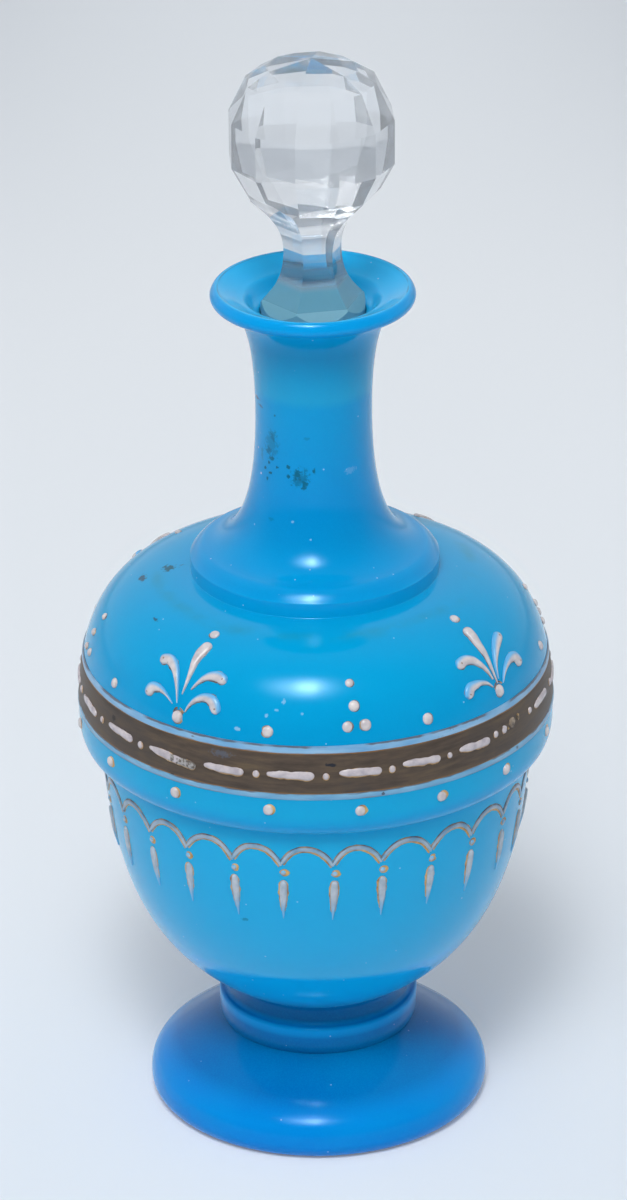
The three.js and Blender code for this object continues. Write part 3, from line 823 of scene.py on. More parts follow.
def stroke(shape, stations, width, relief, finish=0, shift=0.0, ragged=0.0, lift=0.0):
    """Adds a raised stroke to a shape. Stations are (angle, length up the glass, share of width).

    It has a flat back in the glass, a domed face and round ends. finish is the place of its
    material in the piece's list, shift moves it aside, ragged makes its edges uneven, and lift
    lays it on what is under it. Each point keeps how far along (0 to 1) and how far across
    (-1 to 1) the stroke it lies.
    """
    steps = steps_to_station * len(stations)
    path = smooth_path([Vector(station) for station in stations], steps)
    layers = shape.verts.layers.float
    along_layer = layers.get("along") or layers.new("along")
    across_layer = layers.get("across") or layers.new("across")
    centres = [on_glass(angle, length, lift - sunk) for angle, length, share in path]
    travelled = [0.0]
    for (before, _), (after, _) in zip(centres, centres[1:]):
        travelled.append(travelled[-1] + (after - before).length / mm)
    total = travelled[-1]
    rows = []
    for i, (place, out) in enumerate(centres):
        before = centres[max(i - 1, 0)][0]
        after = centres[min(i + 1, steps)][0]
        across = (after - before).cross(out).normalized()
        middle = place + across * shift * mm
        if i in (0, steps):
            tip = shape.verts.new(middle)
            tip[along_layer] = travelled[i] / total
            rows.append([tip] * stroke_sides)
            continue
        waver = 1 + ragged * noise.noise(place * waver_scale + Vector((shift, width, 0)))
        half = max(path[i].z, least_share) * width * waver / 2
        nearest_end = min(travelled[i], total - travelled[i])
        rounding = math.sqrt(1 - max(0.0, 1 - nearest_end / half) ** 2)
        row = []
        for side in range(stroke_sides):
            turn = math.pi * side / (stroke_sides - 1)
            dome = math.sin(turn) ** dome_bluntness * min(1.0, path[i].z + 0.25) * rounding
            corner = shape.verts.new(
                middle
                + across * (math.cos(turn) * half * rounding * mm)
                + out * ((dome * relief + sunk * min(1.0, dome * 4)) * mm)
            )
            corner[along_layer] = travelled[i] / total
            corner[across_layer] = math.cos(turn)
            row.append(corner)
        rows.append(row)
    for lower, upper in zip(rows, rows[1:]):
        for side in range(stroke_sides):
            other = (side + 1) % stroke_sides
            corners = dict.fromkeys((lower[side], upper[side], upper[other], lower[other]))
            shape.faces.new(list(corners)).material_index = finish


def dot(shape, angle, length, width, relief, finish=0, tall=1.0, shift=0.0, ragged=0.0, lift=0.0):
    """Adds a round dot of enamel to a shape."""
    half = width * tall / 2
    stations = [(angle, length + up * half, 1.0) for up in (-1, 0, 1)]
    stroke(shape, stations, width, relief, finish, shift, ragged, lift)


enamel_white = [(0.3, 180, 173, 176), (0.52, 199, 192, 192), (0.75, 212, 205, 202)]


def stroke_share(place, name):
    """What each point of a stroke keeps under a name."""
    return put("Attribute", tree=place.id_data, attribute_name=name).outputs["Fac"]


def white_enamel(
    name, tones=enamel_white, fade=(2.0, 3.0), tip_fade=(2.0, 3.0), thin_tone=rgb(96, 170, 216),
    warm=0.0, pip=None, rubbed=0.0,
):
    """Pinkish white raised enamel with brown specks.

    It thins to translucent blue across a stroke from the first fade place to the second, and
    along it by tip_fade in the same way. warm gives the ochre of the lining on one edge, pip is
    (place along, length over half the width) of the brown point where the quill was lifted,
    and rubbed greys the far half.
    """
    finish, place = new_finish(name)
    along, across = stroke_share(place, "along"), stroke_share(place, "across")
    mottle = cloud(place, 480, 4)
    colour = ramp(mottle, tones)
    thin = reckon("MAXIMUM", rise(across, *fade), rise(along, *tip_fade))
    colour = blend(thin, colour, thin_tone)
    if warm:
        lining = times(rise(across, 0.5, 0.92), rise(cloud(place, 300, 3), 0.35, 0.6))
        colour = blend(times(lining, warm), colour, rgb(168, 130, 86))
    if rubbed:
        mark_share = reckon("ADD", along, rise(mottle, 0.35, 0.65, -0.25, 0.25))
        mark_share = rise(mark_share, 0.45, 0.65, 0.0, rubbed)
        colour = blend(mark_share, colour, rgb(150, 148, 144))
        dirt = times(mark_share, rise(cloud(place, 1500, 3), 0.45, 0.6))
        colour = blend(dirt, colour, rgb(92, 82, 74))
    colour = specked(place, colour, 520, (0.06, 0.16), 0.8, 0.6, rgb(122, 88, 62))
    if pip:
        ahead = times(reckon("SUBTRACT", along, pip[0]), pip[1])
        away = reckon("SQRT", reckon("MULTIPLY_ADD", ahead, ahead, times(across, across)))
        colour = blend(rise(away, 0.1, 0.3, 0.75, 0.0), colour, rgb(124, 94, 66))
    surface(
        colour, 0.26, bumps(mottle, 0.3, 0.0002),
        Subsurface_Weight=0.1, Subsurface_Radius=(1.0, 0.9, 0.9), Subsurface_Scale=0.0008,
    )
    return finish


def lining_gold(name, light, dark):
    """The gilding that was laid under or beside raised enamel, bright ochre where it is left."""
    finish, place = new_finish(name)
    wear = cloud(place, 520, 4, 0.6)
    colour = ramp(wear, [(0.34, *dark), (0.46, *light), (0.7, 214, 174, 106)])
    surface(colour, rise(wear, 0.3, 0.7, 0.5, 0.32), Metallic=0.15)
    return finish


dash_white = [(0.3, 168, 160, 166), (0.52, 190, 181, 184), (0.75, 204, 196, 195)]
dash_enamel = white_enamel("dash_enamel", dash_white, warm=0.75)
worn_dash_enamel = white_enamel("worn_dash_enamel", dash_white, warm=0.6, rubbed=0.9)
ochre_lining = lining_gold("ochre_lining", (188, 146, 82), (132, 98, 62))
band_middle = length_at((band_low_z + band_high_z) / 2) - 0.05
dash_shares = [0.42, 0.82, 0.96, 1.0, 0.94, 1.0, 0.9]


def evenly_on(front, count):
    """The bearings that are left for the back, evenly spaced after the last one in front."""
    step = (360 - (front[-1] - front[0])) / (count - len(front) + 1)
    return [front[-1] + step * (i + 1) for i in range(count - len(front))]


def spread(shares):
    """Each share with how far along its stroke it lies, 0 to 1."""
    return [(i / (len(shares) - 1), share) for i, share in enumerate(shares)]


dashes = list(front_dashes)
for bearing in evenly_on([dash[0] for dash in front_dashes], dash_count):
    left_lane, right_lane = hand.uniform(-0.2, 0.4), hand.uniform(-0.2, 0.4)
    dashes.append((bearing, hand.uniform(8.8, 10.2), left_lane, right_lane))
beads = list(front_beads)
for bearing in evenly_on([bead[0] for bead in front_beads], dash_count - 1):
    beads.append((bearing, hand.uniform(-0.2, 0.4)))
for number, (bearing, long, left_lane, right_lane) in enumerate(dashes):
    shape = bmesh.new()
    stations = []
    for t, share in spread(dash_shares):
        angle = math.radians(bearing) + (t - 0.5) * long / belt_radius
        lane = band_middle + left_lane + (right_lane - left_lane) * t + hand.uniform(-0.08, 0.08)
        stations.append((angle, lane, share * hand.uniform(0.9, 1.08)))
    under = [(angle, lane - lining_drop, share) for angle, lane, share in stations]
    laid = {"finish": lining_layer, "ragged": 0.2, "lift": gilding_thickness}
    stroke(shape, under, dash_width * lining_spread, lining_relief, **laid)
    stroke(shape, stations, dash_width, dash_relief, ragged=0.15, lift=gilding_thickness)
    enamel = worn_dash_enamel if number == worn_dash else dash_enamel
    piece(f"dash_{number + 1:02}", shape, [enamel, ochre_lining])
for number, (bearing, lane) in enumerate(beads):
    shape = bmesh.new()
    angle, middle = math.radians(bearing), band_middle + lane
    width = bead_width * hand.uniform(0.8, 1.08)
    laid = {"tall": bead_tallness, "ragged": 0.1, "lift": gilding_thickness}
    lining_width = width * lining_spread
    dot(shape, angle, middle - lining_drop, lining_width, lining_relief, lining_layer, **laid)
    dot(shape, angle, middle, width, dash_relief, **laid)
    piece(f"band_bead_{number + 1:02}", shape, [dash_enamel, ochre_lining])


# Chipped dash: where one dash broke off, a crust of enamel and a dark scar are left in its place.
# They are thinner than a dash and rough, so they look dull beside it.

crust_tones = [(0.3, 80, 66, 54), (0.5, 134, 116, 96), (0.7, 170, 154, 132)]
crust_enamel = white_enamel("crust_enamel", crust_tones)
scar = lining_gold("chip_scar", (70, 60, 52), (40, 36, 36))
crust_height = 0.16
crust_spots = [(54.6, 1.3, 2.9, 0.85, 0), (57.2, 1.7, 1.9, 0.9, 1), (53.0, 0.6, 1.0, 0.8, 1)]
shape = bmesh.new()
for bearing, lane, width, tall, finish in crust_spots:
    angle, middle = math.radians(bearing), band_middle + lane
    laid = {"tall": tall, "ragged": 0.9, "lift": gilding_thickness}
    dot(shape, angle, middle, width, crust_height, finish, **laid)
piece("chipped_dash", shape, [crust_enamel, scar])


# Palmettes: four fans of five petals over a dot, piped in thick white enamel on the shoulder.
# Each petal starts as a fine tail and ends in a fat round head, over thin dark gilding, and
# the side petals thin to a translucent blue along their outer curve. The fans were piped by
# eye, so they come in two hands: petal lines are millimetres (aside, up) from a fan's foot.

palmettes = [(-36.2, 0.85), (52.0, 0.85), (142.9, 0.5), (232.9, 0.5)]
petal_width = 2.5
thin_lining = 0.08
tick_width = 0.36
left_fan = {
    "low_left": [(-1.8, 4.9), (-3.9, 6.3), (-5.6, 7.0), (-7.2, 7.1), (-8.6, 6.6), (-9.5, 4.6)],
    "high_left": [(-0.6, 5.3), (-1.4, 8.0), (-2.5, 10.5), (-3.9, 12.6), (-6.2, 13.9), (-8.8, 13.0)],
    "middle": [(0.1, 7.5), (0.4, 10.2), (0.5, 13.0), (0.4, 15.6), (0.7, 18.0), (1.4, 20.7)],
    "high_right": [(2.0, 9.1), (2.9, 10.6), (4.1, 12.1), (5.7, 13.1), (7.6, 13.3), (9.7, 12.4)],
    "low_right": [(1.8, 3.9), (2.6, 5.7), (4.0, 7.3), (6.1, 8.2), (8.3, 7.6), (9.7, 5.1)],
}
right_fan = {
    "low_left": [(-1.7, 4.7), (-3.1, 6.2), (-4.9, 6.9), (-6.8, 7.0), (-8.6, 6.6), (-9.8, 4.6)],
    "high_left": [(-1.0, 6.3), (-1.7, 8.5), (-2.9, 10.6), (-4.6, 12.3), (-6.8, 12.9), (-9.2, 12.0)],
    "middle": [(0, 5.0), (-0.2, 8.6), (-0.1, 12.2), (-0.3, 15.0), (-0.1, 17.4), (-0.3, 19.6)],
    "high_right": [(0.7, 5.8), (1.1, 8.0), (2.1, 10.0), (3.7, 11.8), (5.5, 13.1), (7.9, 14.3)],
    "low_right": [(1.8, 4.4), (3.0, 6.0), (4.7, 7.4), (6.9, 8.2), (9.1, 7.8), (10.3, 5.3)],
}
petal_shares = [0.08, 0.28, 0.52, 0.8, 1.0, 0.98]
palmette_hands = [
    (left_fan, (0.1, 2.4, 2.55, 1.12)),
    (right_fan, (-0.1, 3.3, 2.35, 1.2)),
]
palmette_ticks = [
    [(-1.3, 0.7), (-0.9, 1.6), (-0.3, 2.0)],
    [(0.3, 2.1), (1.0, 1.7), (1.6, 1.1)],
]
petal_pip = (0.9, 12.0)
petal_enamel = {
    "middle": white_enamel("middle_petal_enamel", warm=0.15),
    "high_left": white_enamel("high_petal_enamel", fade=(0.1, 0.95), pip=petal_pip),
    "high_right": white_enamel("thin_petal_enamel", fade=(-0.1, 0.75), pip=petal_pip),
    "low": white_enamel("low_petal_enamel", fade=(-0.15, 0.75), pip=petal_pip),
    "dot": white_enamel("dot_enamel", warm=0.25),
}
dark_lining = lining_gold("dark_lining", (104, 88, 80), (62, 60, 66))
palmette_base = length_at(upper_line_high)
dot_finishes = [petal_enamel["dot"], dark_lining]
for number, (bearing, relief) in enumerate(palmettes):
    middle = math.radians(bearing)
    node = f"palmette_{number + 1}_"
    fan, dot_place = palmette_hands[number % 2]
    for petal, line in fan.items():
        enamel = petal_enamel[petal if petal in petal_enamel else petal.split("_")[0]]
        stations = []
        for (aside, up), share in zip(line, petal_shares):
            lane = palmette_base + up
            stations.append((middle + aside / glass_at(lane)[0], lane, share))
        side = 1 if petal.endswith("right") else -1
        shape = bmesh.new()
        laid = {"finish": lining_layer, "shift": 0.1 * side, "ragged": 0.3}
        stroke(shape, stations, petal_width * 1.08, thin_lining, **laid)
        stroke(shape, stations, petal_width, relief, ragged=0.05)
        if side > 0:
            across_layer = shape.verts.layers.float["across"]
            for vertex in shape.verts:
                vertex[across_layer] = -vertex[across_layer]
        replaced = [node + petal]
        piece(f"{node}{petal}_petal", shape, [enamel, dark_lining], replaced)
    shape = bmesh.new()
    aside, up, width, tall = dot_place
    turn, lane = middle + aside / belt_radius, palmette_base + up
    laid = {"finish": lining_layer, "shift": 0.08, "ragged": 0.4}
    dot(shape, turn, lane, width * 1.14, thin_lining, tall=tall, **laid)
    dot(shape, turn, lane, width, relief, tall=tall)
    for ticks in palmette_ticks:
        stations = [(middle + aside / belt_radius, lane + above, 1.0) for aside, above in ticks]
        stroke(shape, stations, tick_width, thin_lining, lining_layer, ragged=0.8)
    piece(node + "dot_drop", shape, dot_finishes, [node + "dot"])


# Shoulder dots: single dots beside each palmette, one above it, and a group of four midway.
# They are drops of the same white enamel, each on a slightly larger spot of dark gilding.

shoulder_dots = {
    "beside_1": [(-60.0, 4.2, 2.1), (-11.9, 4.1, 2.5), (-35.1, 24.5, 2.2)],
    "midway_1": [(9.0, 15.0, 1.8), (9.6, 9.8, 2.4), (7.6, 5.3, 2.3), (12.2, 5.4, 2.4)],
    "beside_2": [(28.3, 4.4, 2.4), (52.0, 24.0, 2.2), (79.0, 5.0, 2.0)],
    "midway_2": [(98.4, 12.6, 1.5), (98.0, 8.0, 1.7), (95.8, 4.0, 1.8), (100.6, 4.3, 1.8)],
    "beside_3": [(118.5, 4.2, 2.2), (143.4, 23.6, 1.6), (167.3, 4.4, 2.3)],
    "midway_3": [(188.2, 13.8, 1.8), (188.0, 8.8, 2.1), (185.4, 4.6, 2.2), (190.4, 4.6, 2.2)],
    "beside_4": [(208.6, 4.3, 2.4), (233.3, 24.2, 1.5), (254.0, 4.0, 2.0)],
    "midway_4": [(278.9, 12.9, 1.5), (277.9, 8.2, 1.7), (276.4, 3.9, 1.6), (281.2, 4.3, 1.7)],
}
shoulder_dots_base = length_at(112.0)
dot_relief = 0.6
lining_side = 0.18
for group, places in shoulder_dots.items():
    shape = bmesh.new()
    for degrees, up, width in places:
        angle = math.radians(degrees)
        lane = shoulder_dots_base + up
        side = hand.choice((-lining_side, lining_side))
        laid = {"finish": lining_layer, "tall": 1.05, "shift": side, "ragged": 0.3}
        dot(shape, angle, lane, width * 1.06, thin_lining, **laid)
        dot(shape, angle, lane, width, dot_relief, tall=hand.uniform(1.0, 1.12))
    piece(f"shoulder_dots_{group}", shape, dot_finishes)


# Belt dots: a row of white dots low on the belt, each beside a crescent of bright gilding.
# The gilding was laid first, and the enamel was dropped a little to its left.

belt_dot_count = 16
front_belt_dots = [-58.6, -35.6, -11.5, 10.2, 30.8, 51.6]
belt_dot_z = 97.6
belt_dot_width = 2.25
belt_dot_relief = 0.62
crescent_relief = 0.1
crescent_side = 0.38
shape = bmesh.new()
for bearing in front_belt_dots + evenly_on(front_belt_dots, belt_dot_count):
    angle = math.radians(bearing)
    lane = length_at(belt_dot_z) + hand.uniform(-0.2, 0.2)
    laid = {"finish": lining_layer, "tall": 1.1, "shift": crescent_side, "ragged": 0.3}
    dot(shape, angle, lane + 0.1, belt_dot_width * 1.08, crescent_relief, **laid)
    dot(shape, angle, lane, belt_dot_width, belt_dot_relief, tall=hand.uniform(1.05, 1.18))
piece("belt_dots", shape, [petal_enamel["dot"], ochre_lining])


# Festoon: a chain of scallops in pale blue enamel round the bowl under the belt.
# Each scallop is one stroke between a thin brown line above and a thin gilt one below, which
# thickens towards its right end. Its cusps were set by eye.

scallop_count = 26
scallop_turn = math.radians(4.0)
scallop_drop = 8.4
scallop_rise = 4.0
scallop_roundness = 2.3
cusp_tail = 0.5
festoon_width = 1.05
festoon_relief = 0.28
brown_line_width = 0.28
gilt_line_width = 0.46
thin_line_relief = 0.1
brown_layer = 2
cusp_shifts = [0.3, -0.6, 0.1, 0.2, 0.8]
cusp_shifts += [hand.uniform(-0.5, 0.5) for _ in range(scallop_count - 10)]
cusp_shifts += [0.6, 0.7, 0.5, 0.7, 0.3]


def cusp_angle(number):
    """The bearing of a cusp, round from the one just right of the front."""
    turn = scallop_turn + math.tau * number / scallop_count
    return turn + math.radians(cusp_shifts[number % scallop_count])


def festoon_enamel():
    """Pale grey-blue enamel, thin enough in places for the glass to show through."""
    finish, place = new_finish("festoon_enamel")
    body = cloud(place, 260, 4)
    colour = ramp(body, [(0.32, 112, 156, 186), (0.5, 152, 174, 192), (0.72, 178, 188, 200)])
    surface(colour, 0.3, bumps(body, 0.3, 0.0002))
    return finish


scallop_shares = [0.55, 0.85, 1.0, 1.0, 1.0, 0.95, 0.9, 0.8, 0.6]
gilt_shares = [0.6, 0.7, 0.7, 0.8, 0.9, 1.1, 1.3, 1.2, 0.7]
festoon_shape = bmesh.new()
for number in range(scallop_count):
    start, end = cusp_angle(number), cusp_angle(number + 1)
    lean = hand.uniform(-0.05, 0.08)
    places = []
    for t, _ in spread(scallop_shares):
        arch = 1 - abs(2 * t - 1) ** scallop_roundness
        tail = cusp_tail * t ** 8
        height = crease_z - scallop_drop + arch * scallop_rise - tail
        across = t + lean * math.sin(math.pi * t)
        places.append((start + across * (end - start), length_at(height)))
    middle = [(*spot, share) for spot, share in zip(places, scallop_shares)]
    lower = [(*spot, share) for spot, share in zip(places, gilt_shares)]
    upper_edge = festoon_width / 2 + brown_line_width * 0.25
    lower_edge = festoon_width / 2 + gilt_line_width * 0.25
    brown_line = {"finish": brown_layer, "shift": -upper_edge, "ragged": 0.9}
    gilt_line = {"finish": lining_layer, "shift": lower_edge, "ragged": 0.6}
    stroke(festoon_shape, middle, brown_line_width, thin_line_relief, **brown_line)
    stroke(festoon_shape, lower, gilt_line_width, thin_line_relief, **gilt_line)
    stroke(festoon_shape, middle, festoon_width, festoon_relief, ragged=0.2)
brown_lining = lining_gold("brown_lining", (126, 108, 98), (86, 80, 84))
festoon_finishes = [festoon_enamel(), ochre_lining, brown_lining]
piece("festoon", festoon_shape, festoon_finishes, ["festoon_line"])


# Festoon drops: a bead and a long drop under each cusp, in pale enamel.
# The gilding under them shows as a thin ochre rim, strongest at the left of a drop and at the
# right of a bead, and the point of the drop thins out to nothing.

drop_from = 12.8
drop_length = 10.6
drop_width = 1.75
drop_rim_width = 2.35
drop_relief = 0.6
bead_z = 79.2
cusp_bead_width = 2.2
cusp_bead_relief = 0.4
cusp_bead_rim = 0.1
drop_shares = [0.72, 1.0, 1.0, 0.86, 0.62, 0.36, 0.12]
drop_tones = [(0.3, 146, 164, 178), (0.52, 170, 180, 190), (0.75, 190, 195, 200)]
drop_enamel = white_enamel(
    "drop_enamel", drop_tones, tip_fade=(0.4, 0.95), thin_tone=rgb(104, 176, 218)
)
for number in range(scallop_count):
    shape = bmesh.new()
    angle = cusp_angle(number) + math.radians(hand.uniform(0.1, 0.6))
    top = length_at(crease_z - drop_from)
    long = drop_length * hand.uniform(0.96, 1.06)
    sway = math.radians(hand.uniform(-0.6, 0.4))
    stations = [(angle + sway * t, top - long * t, share) for t, share in spread(drop_shares)]
    rim = [(turn, lane + lining_drop, share) for turn, lane, share in stations[:-1]]
    laid = {"finish": lining_layer, "shift": hand.uniform(0.0, 0.14), "ragged": 0.25}
    stroke(shape, rim, drop_rim_width, thin_lining, **laid)
    stroke(shape, stations, drop_width, drop_relief, ragged=0.06)
    bead_lane = length_at(bead_z) + hand.uniform(-0.15, 0.15)
    laid = {"finish": lining_layer, "tall": 0.9, "shift": 0.3, "ragged": 0.7}
    dot(shape, angle, bead_lane, cusp_bead_width, cusp_bead_rim, **laid)
    dot(shape, angle, bead_lane, cusp_bead_width * 0.58, cusp_bead_relief)
    node = f"festoon_drop_{number + 1:02}"
    piece(node + "_and_bead", shape, [drop_enamel, ochre_lining], [node])


# Stopper: clear lead glass, cut all over. A ball of twelve facets a row stands on a neck of six
# hollow-cut sides, and below it a round peg is ground to a taper that seals in the mouth.

peg_top_radius = 11.66
peg_bottom_radius = 10.65
peg_bottom_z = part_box("stopper")[0].z / mm
peg_top_z = peg_bottom_z + 18.9
peg_edge = 0.55
drum_top_z = peg_top_z + 3.3
drum_edge_rise = 1.0
stopper_waist_z = peg_top_z + 14.2
stopper_neck_top = peg_top_z + 27.2
stopper_neck_radius = 6.57
flute_foot_radius = 14.0
flute_heel_radius = 9.33
flute_heel_rise = 2.0
flute_fall = 7.4
flute_rise = 5.0
flute_arch_radius = 9.1
flute_arch_drop = 4.6
flute_top_reach = 2.0
flute_top_rise = 1.2
ball_radius = 18.55
ball_skirt_radius = 14.2
ball_z = stopper_neck_top + 8.1
ball_waist_z = ball_z + 10.2
ball_crown_radius = 14.6
ball_crown_z = ball_waist_z + 8.3
ball_table_radius = 8.2
ball_table_z = ball_crown_z + 3.9
ball_apex_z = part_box("stopper")[1].z / mm - 0.5
star_facets = 6
star_fall = 0.207
ball_facets = 12
ball_turn = math.radians(-11.3)
neck_facets = 6
neck_turn = math.radians(-18)
blank_margin = 8
weld_reach = 0.02
facet_turn = math.radians(2.9)
face_margin = 0.2
clear_share = 0.84
crystal_index = 1.47

blank_radius = ball_radius + blank_margin
blank_z = ball_apex_z + blank_margin
blank_low_z = peg_bottom_z - blank_margin
crown_slope = (ball_table_z - ball_crown_z) / (ball_crown_radius - ball_table_radius)
ball_cut = turned(profile(
    (0, blank_low_z),
    (ball_skirt_radius, blank_low_z),
    (ball_skirt_radius, stopper_neck_top),
    (ball_radius, ball_z),
    (ball_radius, ball_waist_z),
    (ball_crown_radius, ball_crown_z),
    (ball_table_radius, ball_table_z),
    (0, ball_table_z + crown_slope * ball_table_radius),
), ball_facets, ball_turn)
star_cut = turned(profile(
    (0, blank_low_z),
    (blank_radius, blank_low_z),
    (blank_radius, ball_apex_z - blank_radius * star_fall),
    (0, ball_apex_z),
), star_facets, ball_turn)
flute_cut = turned(profile(
    (0, blank_low_z),
    (flute_foot_radius, blank_low_z),
    (flute_foot_radius, peg_top_z),
    [(flute_heel_radius, drum_top_z + flute_heel_rise),
     (stopper_neck_radius, stopper_waist_z - flute_fall),
     (stopper_neck_radius, stopper_waist_z), 48],
    [(stopper_neck_radius, stopper_waist_z + flute_rise),
     (flute_arch_radius, stopper_neck_top - flute_arch_drop),
     (ball_skirt_radius + flute_top_reach, stopper_neck_top + flute_top_rise), 48],
    (blank_radius, ball_z),
    (blank_radius, blank_z),
    (0, blank_z),
), neck_facets, neck_turn)
round_cut = turned(profile(
    (0, peg_bottom_z),
    (peg_bottom_radius - peg_edge, peg_bottom_z),
    (peg_bottom_radius, peg_bottom_z + peg_edge),
    (peg_top_radius, peg_top_z),
    (peg_top_radius, drum_top_z),
    (blank_radius, drum_top_z + drum_edge_rise),
    (blank_radius, blank_z),
    (0, blank_z),
))


def cut_together(shapes):
    """The shape that several closed shapes have in common."""
    blanks = []
    for shape in shapes:
        bmesh.ops.recalc_face_normals(shape, faces=shape.faces)
        blanks.append(made_of("blank", shape))
    for cutter in blanks[1:]:
        modifier = blanks[0].modifiers.new("cut", "BOOLEAN")
        modifier.operation = "INTERSECT"
        modifier.solver = "EXACT"
        modifier.object = cutter
    settled = blanks[0].evaluated_get(bpy.context.evaluated_depsgraph_get())
    shape = bmesh.new()
    shape.from_mesh(settled.to_mesh())
    for blank in blanks:
        bpy.data.objects.remove(blank)
    bmesh.ops.remove_doubles(shape, verts=shape.verts, dist=weld_reach * mm)
    return shape


def clear_crystal():
    """Clear lead glass, with the faintest haze of wear on its facets. Low down, where it stands in
    the mouth, it is painted blue-grey, a painted reflection of the blue glass round it.
    """
    finish, place = new_finish("clear_crystal")
    haze = rise(cloud(place, 300, 4), 0.45, 0.85, 0.0, 0.05)
    free = rise(height_of(place), (drum_top_z + 3) * mm, (drum_top_z + 6) * mm)
    # Painted reflection: low down the glass is painted blue-grey for the blue mouth seen in and
    # through it.
    colour = blend(free, rgb(122, 186, 208), rgb(246, 248, 250))
    through = reckon("MULTIPLY_ADD", free, 0.65, 0.3)
    thin = reckon("MULTIPLY_ADD", free, clear_share - 0.7, 0.7)
    surface(colour, haze, IOR=crystal_index, Transmission_Weight=through, Alpha=thin)
    return finish


def ground_crystal():
    """The same glass where it is ground: a fine frost, rubbed smoother in places, painted blue-grey
    for the blue mouth that shows in and through it.
    """
    finish, place = new_finish("ground_crystal")
    frost = rise(cloud(place, 900, 3), 0.3, 0.7, 0.35, 0.6)
    # Painted reflection: the blue-grey tone stands for the blue mouth seen in and through the
    # frost.
    tone = rgb(122, 180, 198)
    surface(tone, frost, IOR=crystal_index, Transmission_Weight=0.2, Alpha=0.8)
    return finish


stopper_shape = cut_together([ball_cut, star_cut, flute_cut, round_cut])
for face in stopper_shape.faces:
    highest = max(vertex.co.z for vertex in face.verts) / mm
    face.material_index = 1 if highest < drum_top_z - face_margin else 0
piece(
    "cut_stopper", stopper_shape, [clear_crystal(), ground_crystal()],
    ["stopper"], "stopper", facet_turn,
)


# Stage: a pale floor, graded with painted shade and glowing faintly for the camera, under a soft,
# even studio light, with one large lamp high in front that is brightest at its heart, where a
# second lamp stands.
# The camera looks down at the decanter a little, from over a metre away.

floor_half = 9.0
floor_glow = 0.2
corner_shade = 0.3
front_lamps = [
    ("front_softbox", -10, 55, 3.0, 2.8, 2.6, 350),
    ("softbox_heart", -5, 56, 2.95, 1.1, 2.1, 190),
]


def seen(place):
    """1 for what the camera sees, straight, in a reflection or through clear glass, else 0."""
    path = put("LightPath", tree=place.id_data).outputs
    share = reckon("MAXIMUM", path["Is Camera Ray"], path["Is Glossy Ray"])
    return reckon("MAXIMUM", share, path["Is Transmission Ray"])


def parts_of(place):
    """A place's parts along X, Y and Z."""
    return put("SeparateXYZ", {0: place}).outputs


def mixed(share, first, second):
    """A mix of two shaders."""
    inputs = {0: share, 1: first.outputs[0], 2: second.outputs[0]}
    return put("MixShader", inputs).outputs[0]


def floor_paper():
    """White paper with a faint glow of its own for the camera; its colour and glow are painted
    shade, darker towards the front and the back and in its far corners.
    """
    finish, place = new_finish("floor_paper")
    parts = parts_of(place)
    share = reckon("MULTIPLY_ADD", parts["Y"], 0.25, 0.5)
    # Painted shade: the paper's colour is darker towards the front and towards the back.
    colour = ramp(share, [
        (0.38, 196, 207, 219), (0.5, 224, 230, 236),
        (0.62, 230, 234, 238), (0.85, 216, 222, 228),
    ])
    # Painted shade darkens the far corners.
    corner = times(rise(parts["Y"], 0.35, 0.85, 0.0, 22), times(parts["X"], parts["X"]))
    colour = blend(reckon("MINIMUM", corner, corner_shade), colour, rgb(150, 156, 166))
    paper = put("BsdfDiffuse", {"Color": colour})
    glow_colour = ramp(share, [
        (0.4, 214, 224, 236), (0.5, 234, 238, 242),
        (0.7, 234, 238, 241), (0.95, 212, 218, 226),
    ])
    glow = put("Emission", {"Color": glow_colour, "Strength": 1.0})
    ground = mixed(times(seen(place), floor_glow), paper, glow)
    put("OutputMaterial", {"Surface": ground})
    return finish


floor_shape = bmesh.new()
bmesh.ops.create_grid(floor_shape, x_segments=1, y_segments=1, size=floor_half)
made_of("studio_floor", floor_shape, [floor_paper()])

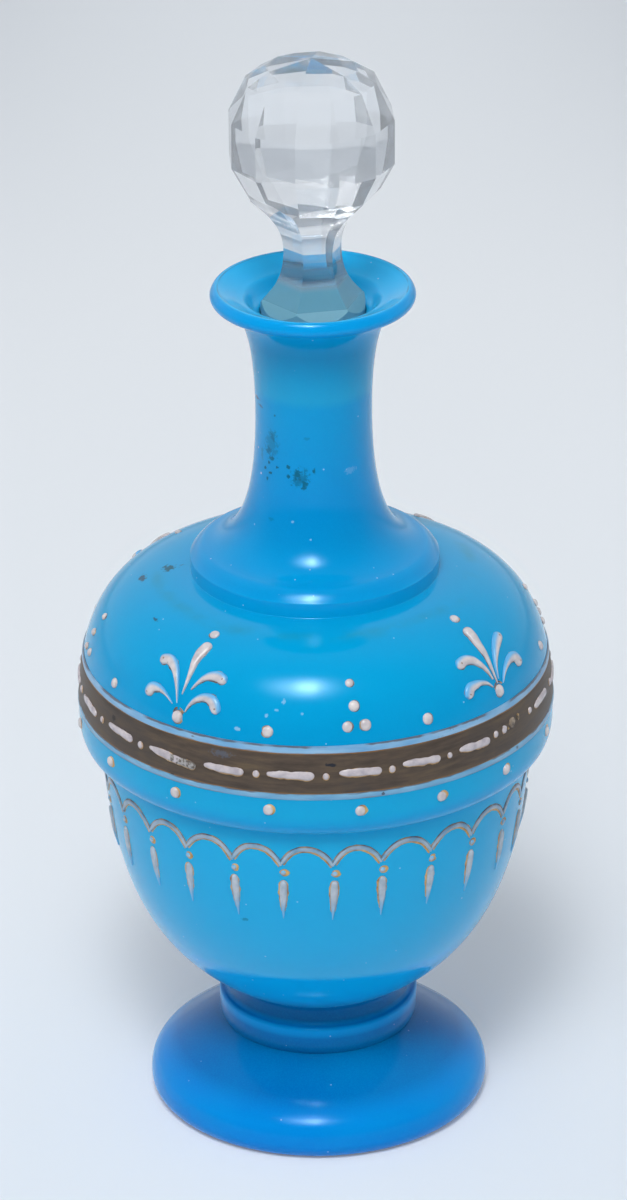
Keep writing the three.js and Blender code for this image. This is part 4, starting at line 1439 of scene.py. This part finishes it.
world = bpy.data.worlds.new("studio")
bpy.context.scene.world = world
world.use_nodes = True
world.node_tree.nodes.clear()
bearing = put("TexCoord", tree=world.node_tree).outputs["Generated"]
bearing_parts = parts_of(bearing)
beside = reckon("ABSOLUTE", reckon("SUBTRACT", bearing_parts["X"], 0.1))
side_light = rise(beside, 0.3, 1.0, 0.42, 0.88)
light = put("Background", {"Color": rgb(226, 231, 238), "Strength": side_light})
studio_colour = ramp(reckon("MULTIPLY_ADD", bearing_parts["Y"], 0.5, 0.5), [
    (0.0, 84, 92, 102), (0.35, 114, 124, 136),
    (0.6, 200, 206, 214), (1.0, 228, 232, 237),
])
studio = put("Background", {"Color": studio_colour, "Strength": 1.0})
put("OutputWorld", {"Surface": mixed(seen(bearing), light, studio)})


def toward(turn, lift):
    """The way out at an angle round the decanter and an angle above the level."""
    level_share = math.cos(lift)
    return Vector((math.sin(turn) * level_share, -math.cos(turn) * level_share, math.sin(lift)))


for name, azimuth, elevation, distance, wide, tall, power in front_lamps:
    lamp = bpy.data.lights.new(name, "AREA")
    lamp.shape = "RECTANGLE"
    lamp.size = wide
    lamp.size_y = tall
    lamp.energy = power
    lamp.use_nodes = True
    lamp.node_tree.nodes.clear()
    spot = put("NewGeometry", tree=lamp.node_tree).outputs["Parametric"]
    middle = put("VectorMath", {0: spot, 1: (0.5, 0.5, 0.0)}, operation="DISTANCE")
    fall = rise(middle.outputs["Value"], 0.0, 0.5, 1.0, 0.0)
    glow = put("Emission", {"Strength": reckon("POWER", fall, 2.0)})
    put("OutputLight", {"Surface": glow.outputs[0]})
    softbox = in_scene(name, lamp)
    away = toward(math.radians(azimuth), math.radians(elevation))
    softbox.location = Vector((0, 0, total_height * mm / 2)) + away * distance
    softbox.rotation_euler = away.to_track_quat("Z", "Y").to_euler()

photo_height = 1200
focal_pixels = 6334.134
sensor_side = 36.0
camera_distance = 1.3
camera_height = 0.735029
camera_side = -0.00064
camera_pitch = 0.4393766
camera_yaw = 0.0002
camera_roll = -0.0080
camera_data = bpy.data.cameras.new("studio_camera")
camera_data.sensor_fit = "VERTICAL"
camera_data.sensor_height = sensor_side
camera_data.lens = focal_pixels / photo_height * sensor_side
camera = in_scene("studio_camera", camera_data)
forward = -toward(-camera_yaw, camera_pitch)
level = Vector((math.cos(camera_yaw), -math.sin(camera_yaw), 0))
upright = level.cross(forward)
right = level * math.cos(camera_roll) + upright * math.sin(camera_roll)
above = right.cross(forward)
camera.matrix_world = Matrix((right, above, -forward)).transposed().to_4x4()
camera.location = (camera_side, -camera_distance, camera_height)
bpy.context.scene.camera = camera
bpy.context.scene.view_settings.view_transform = "Standard"
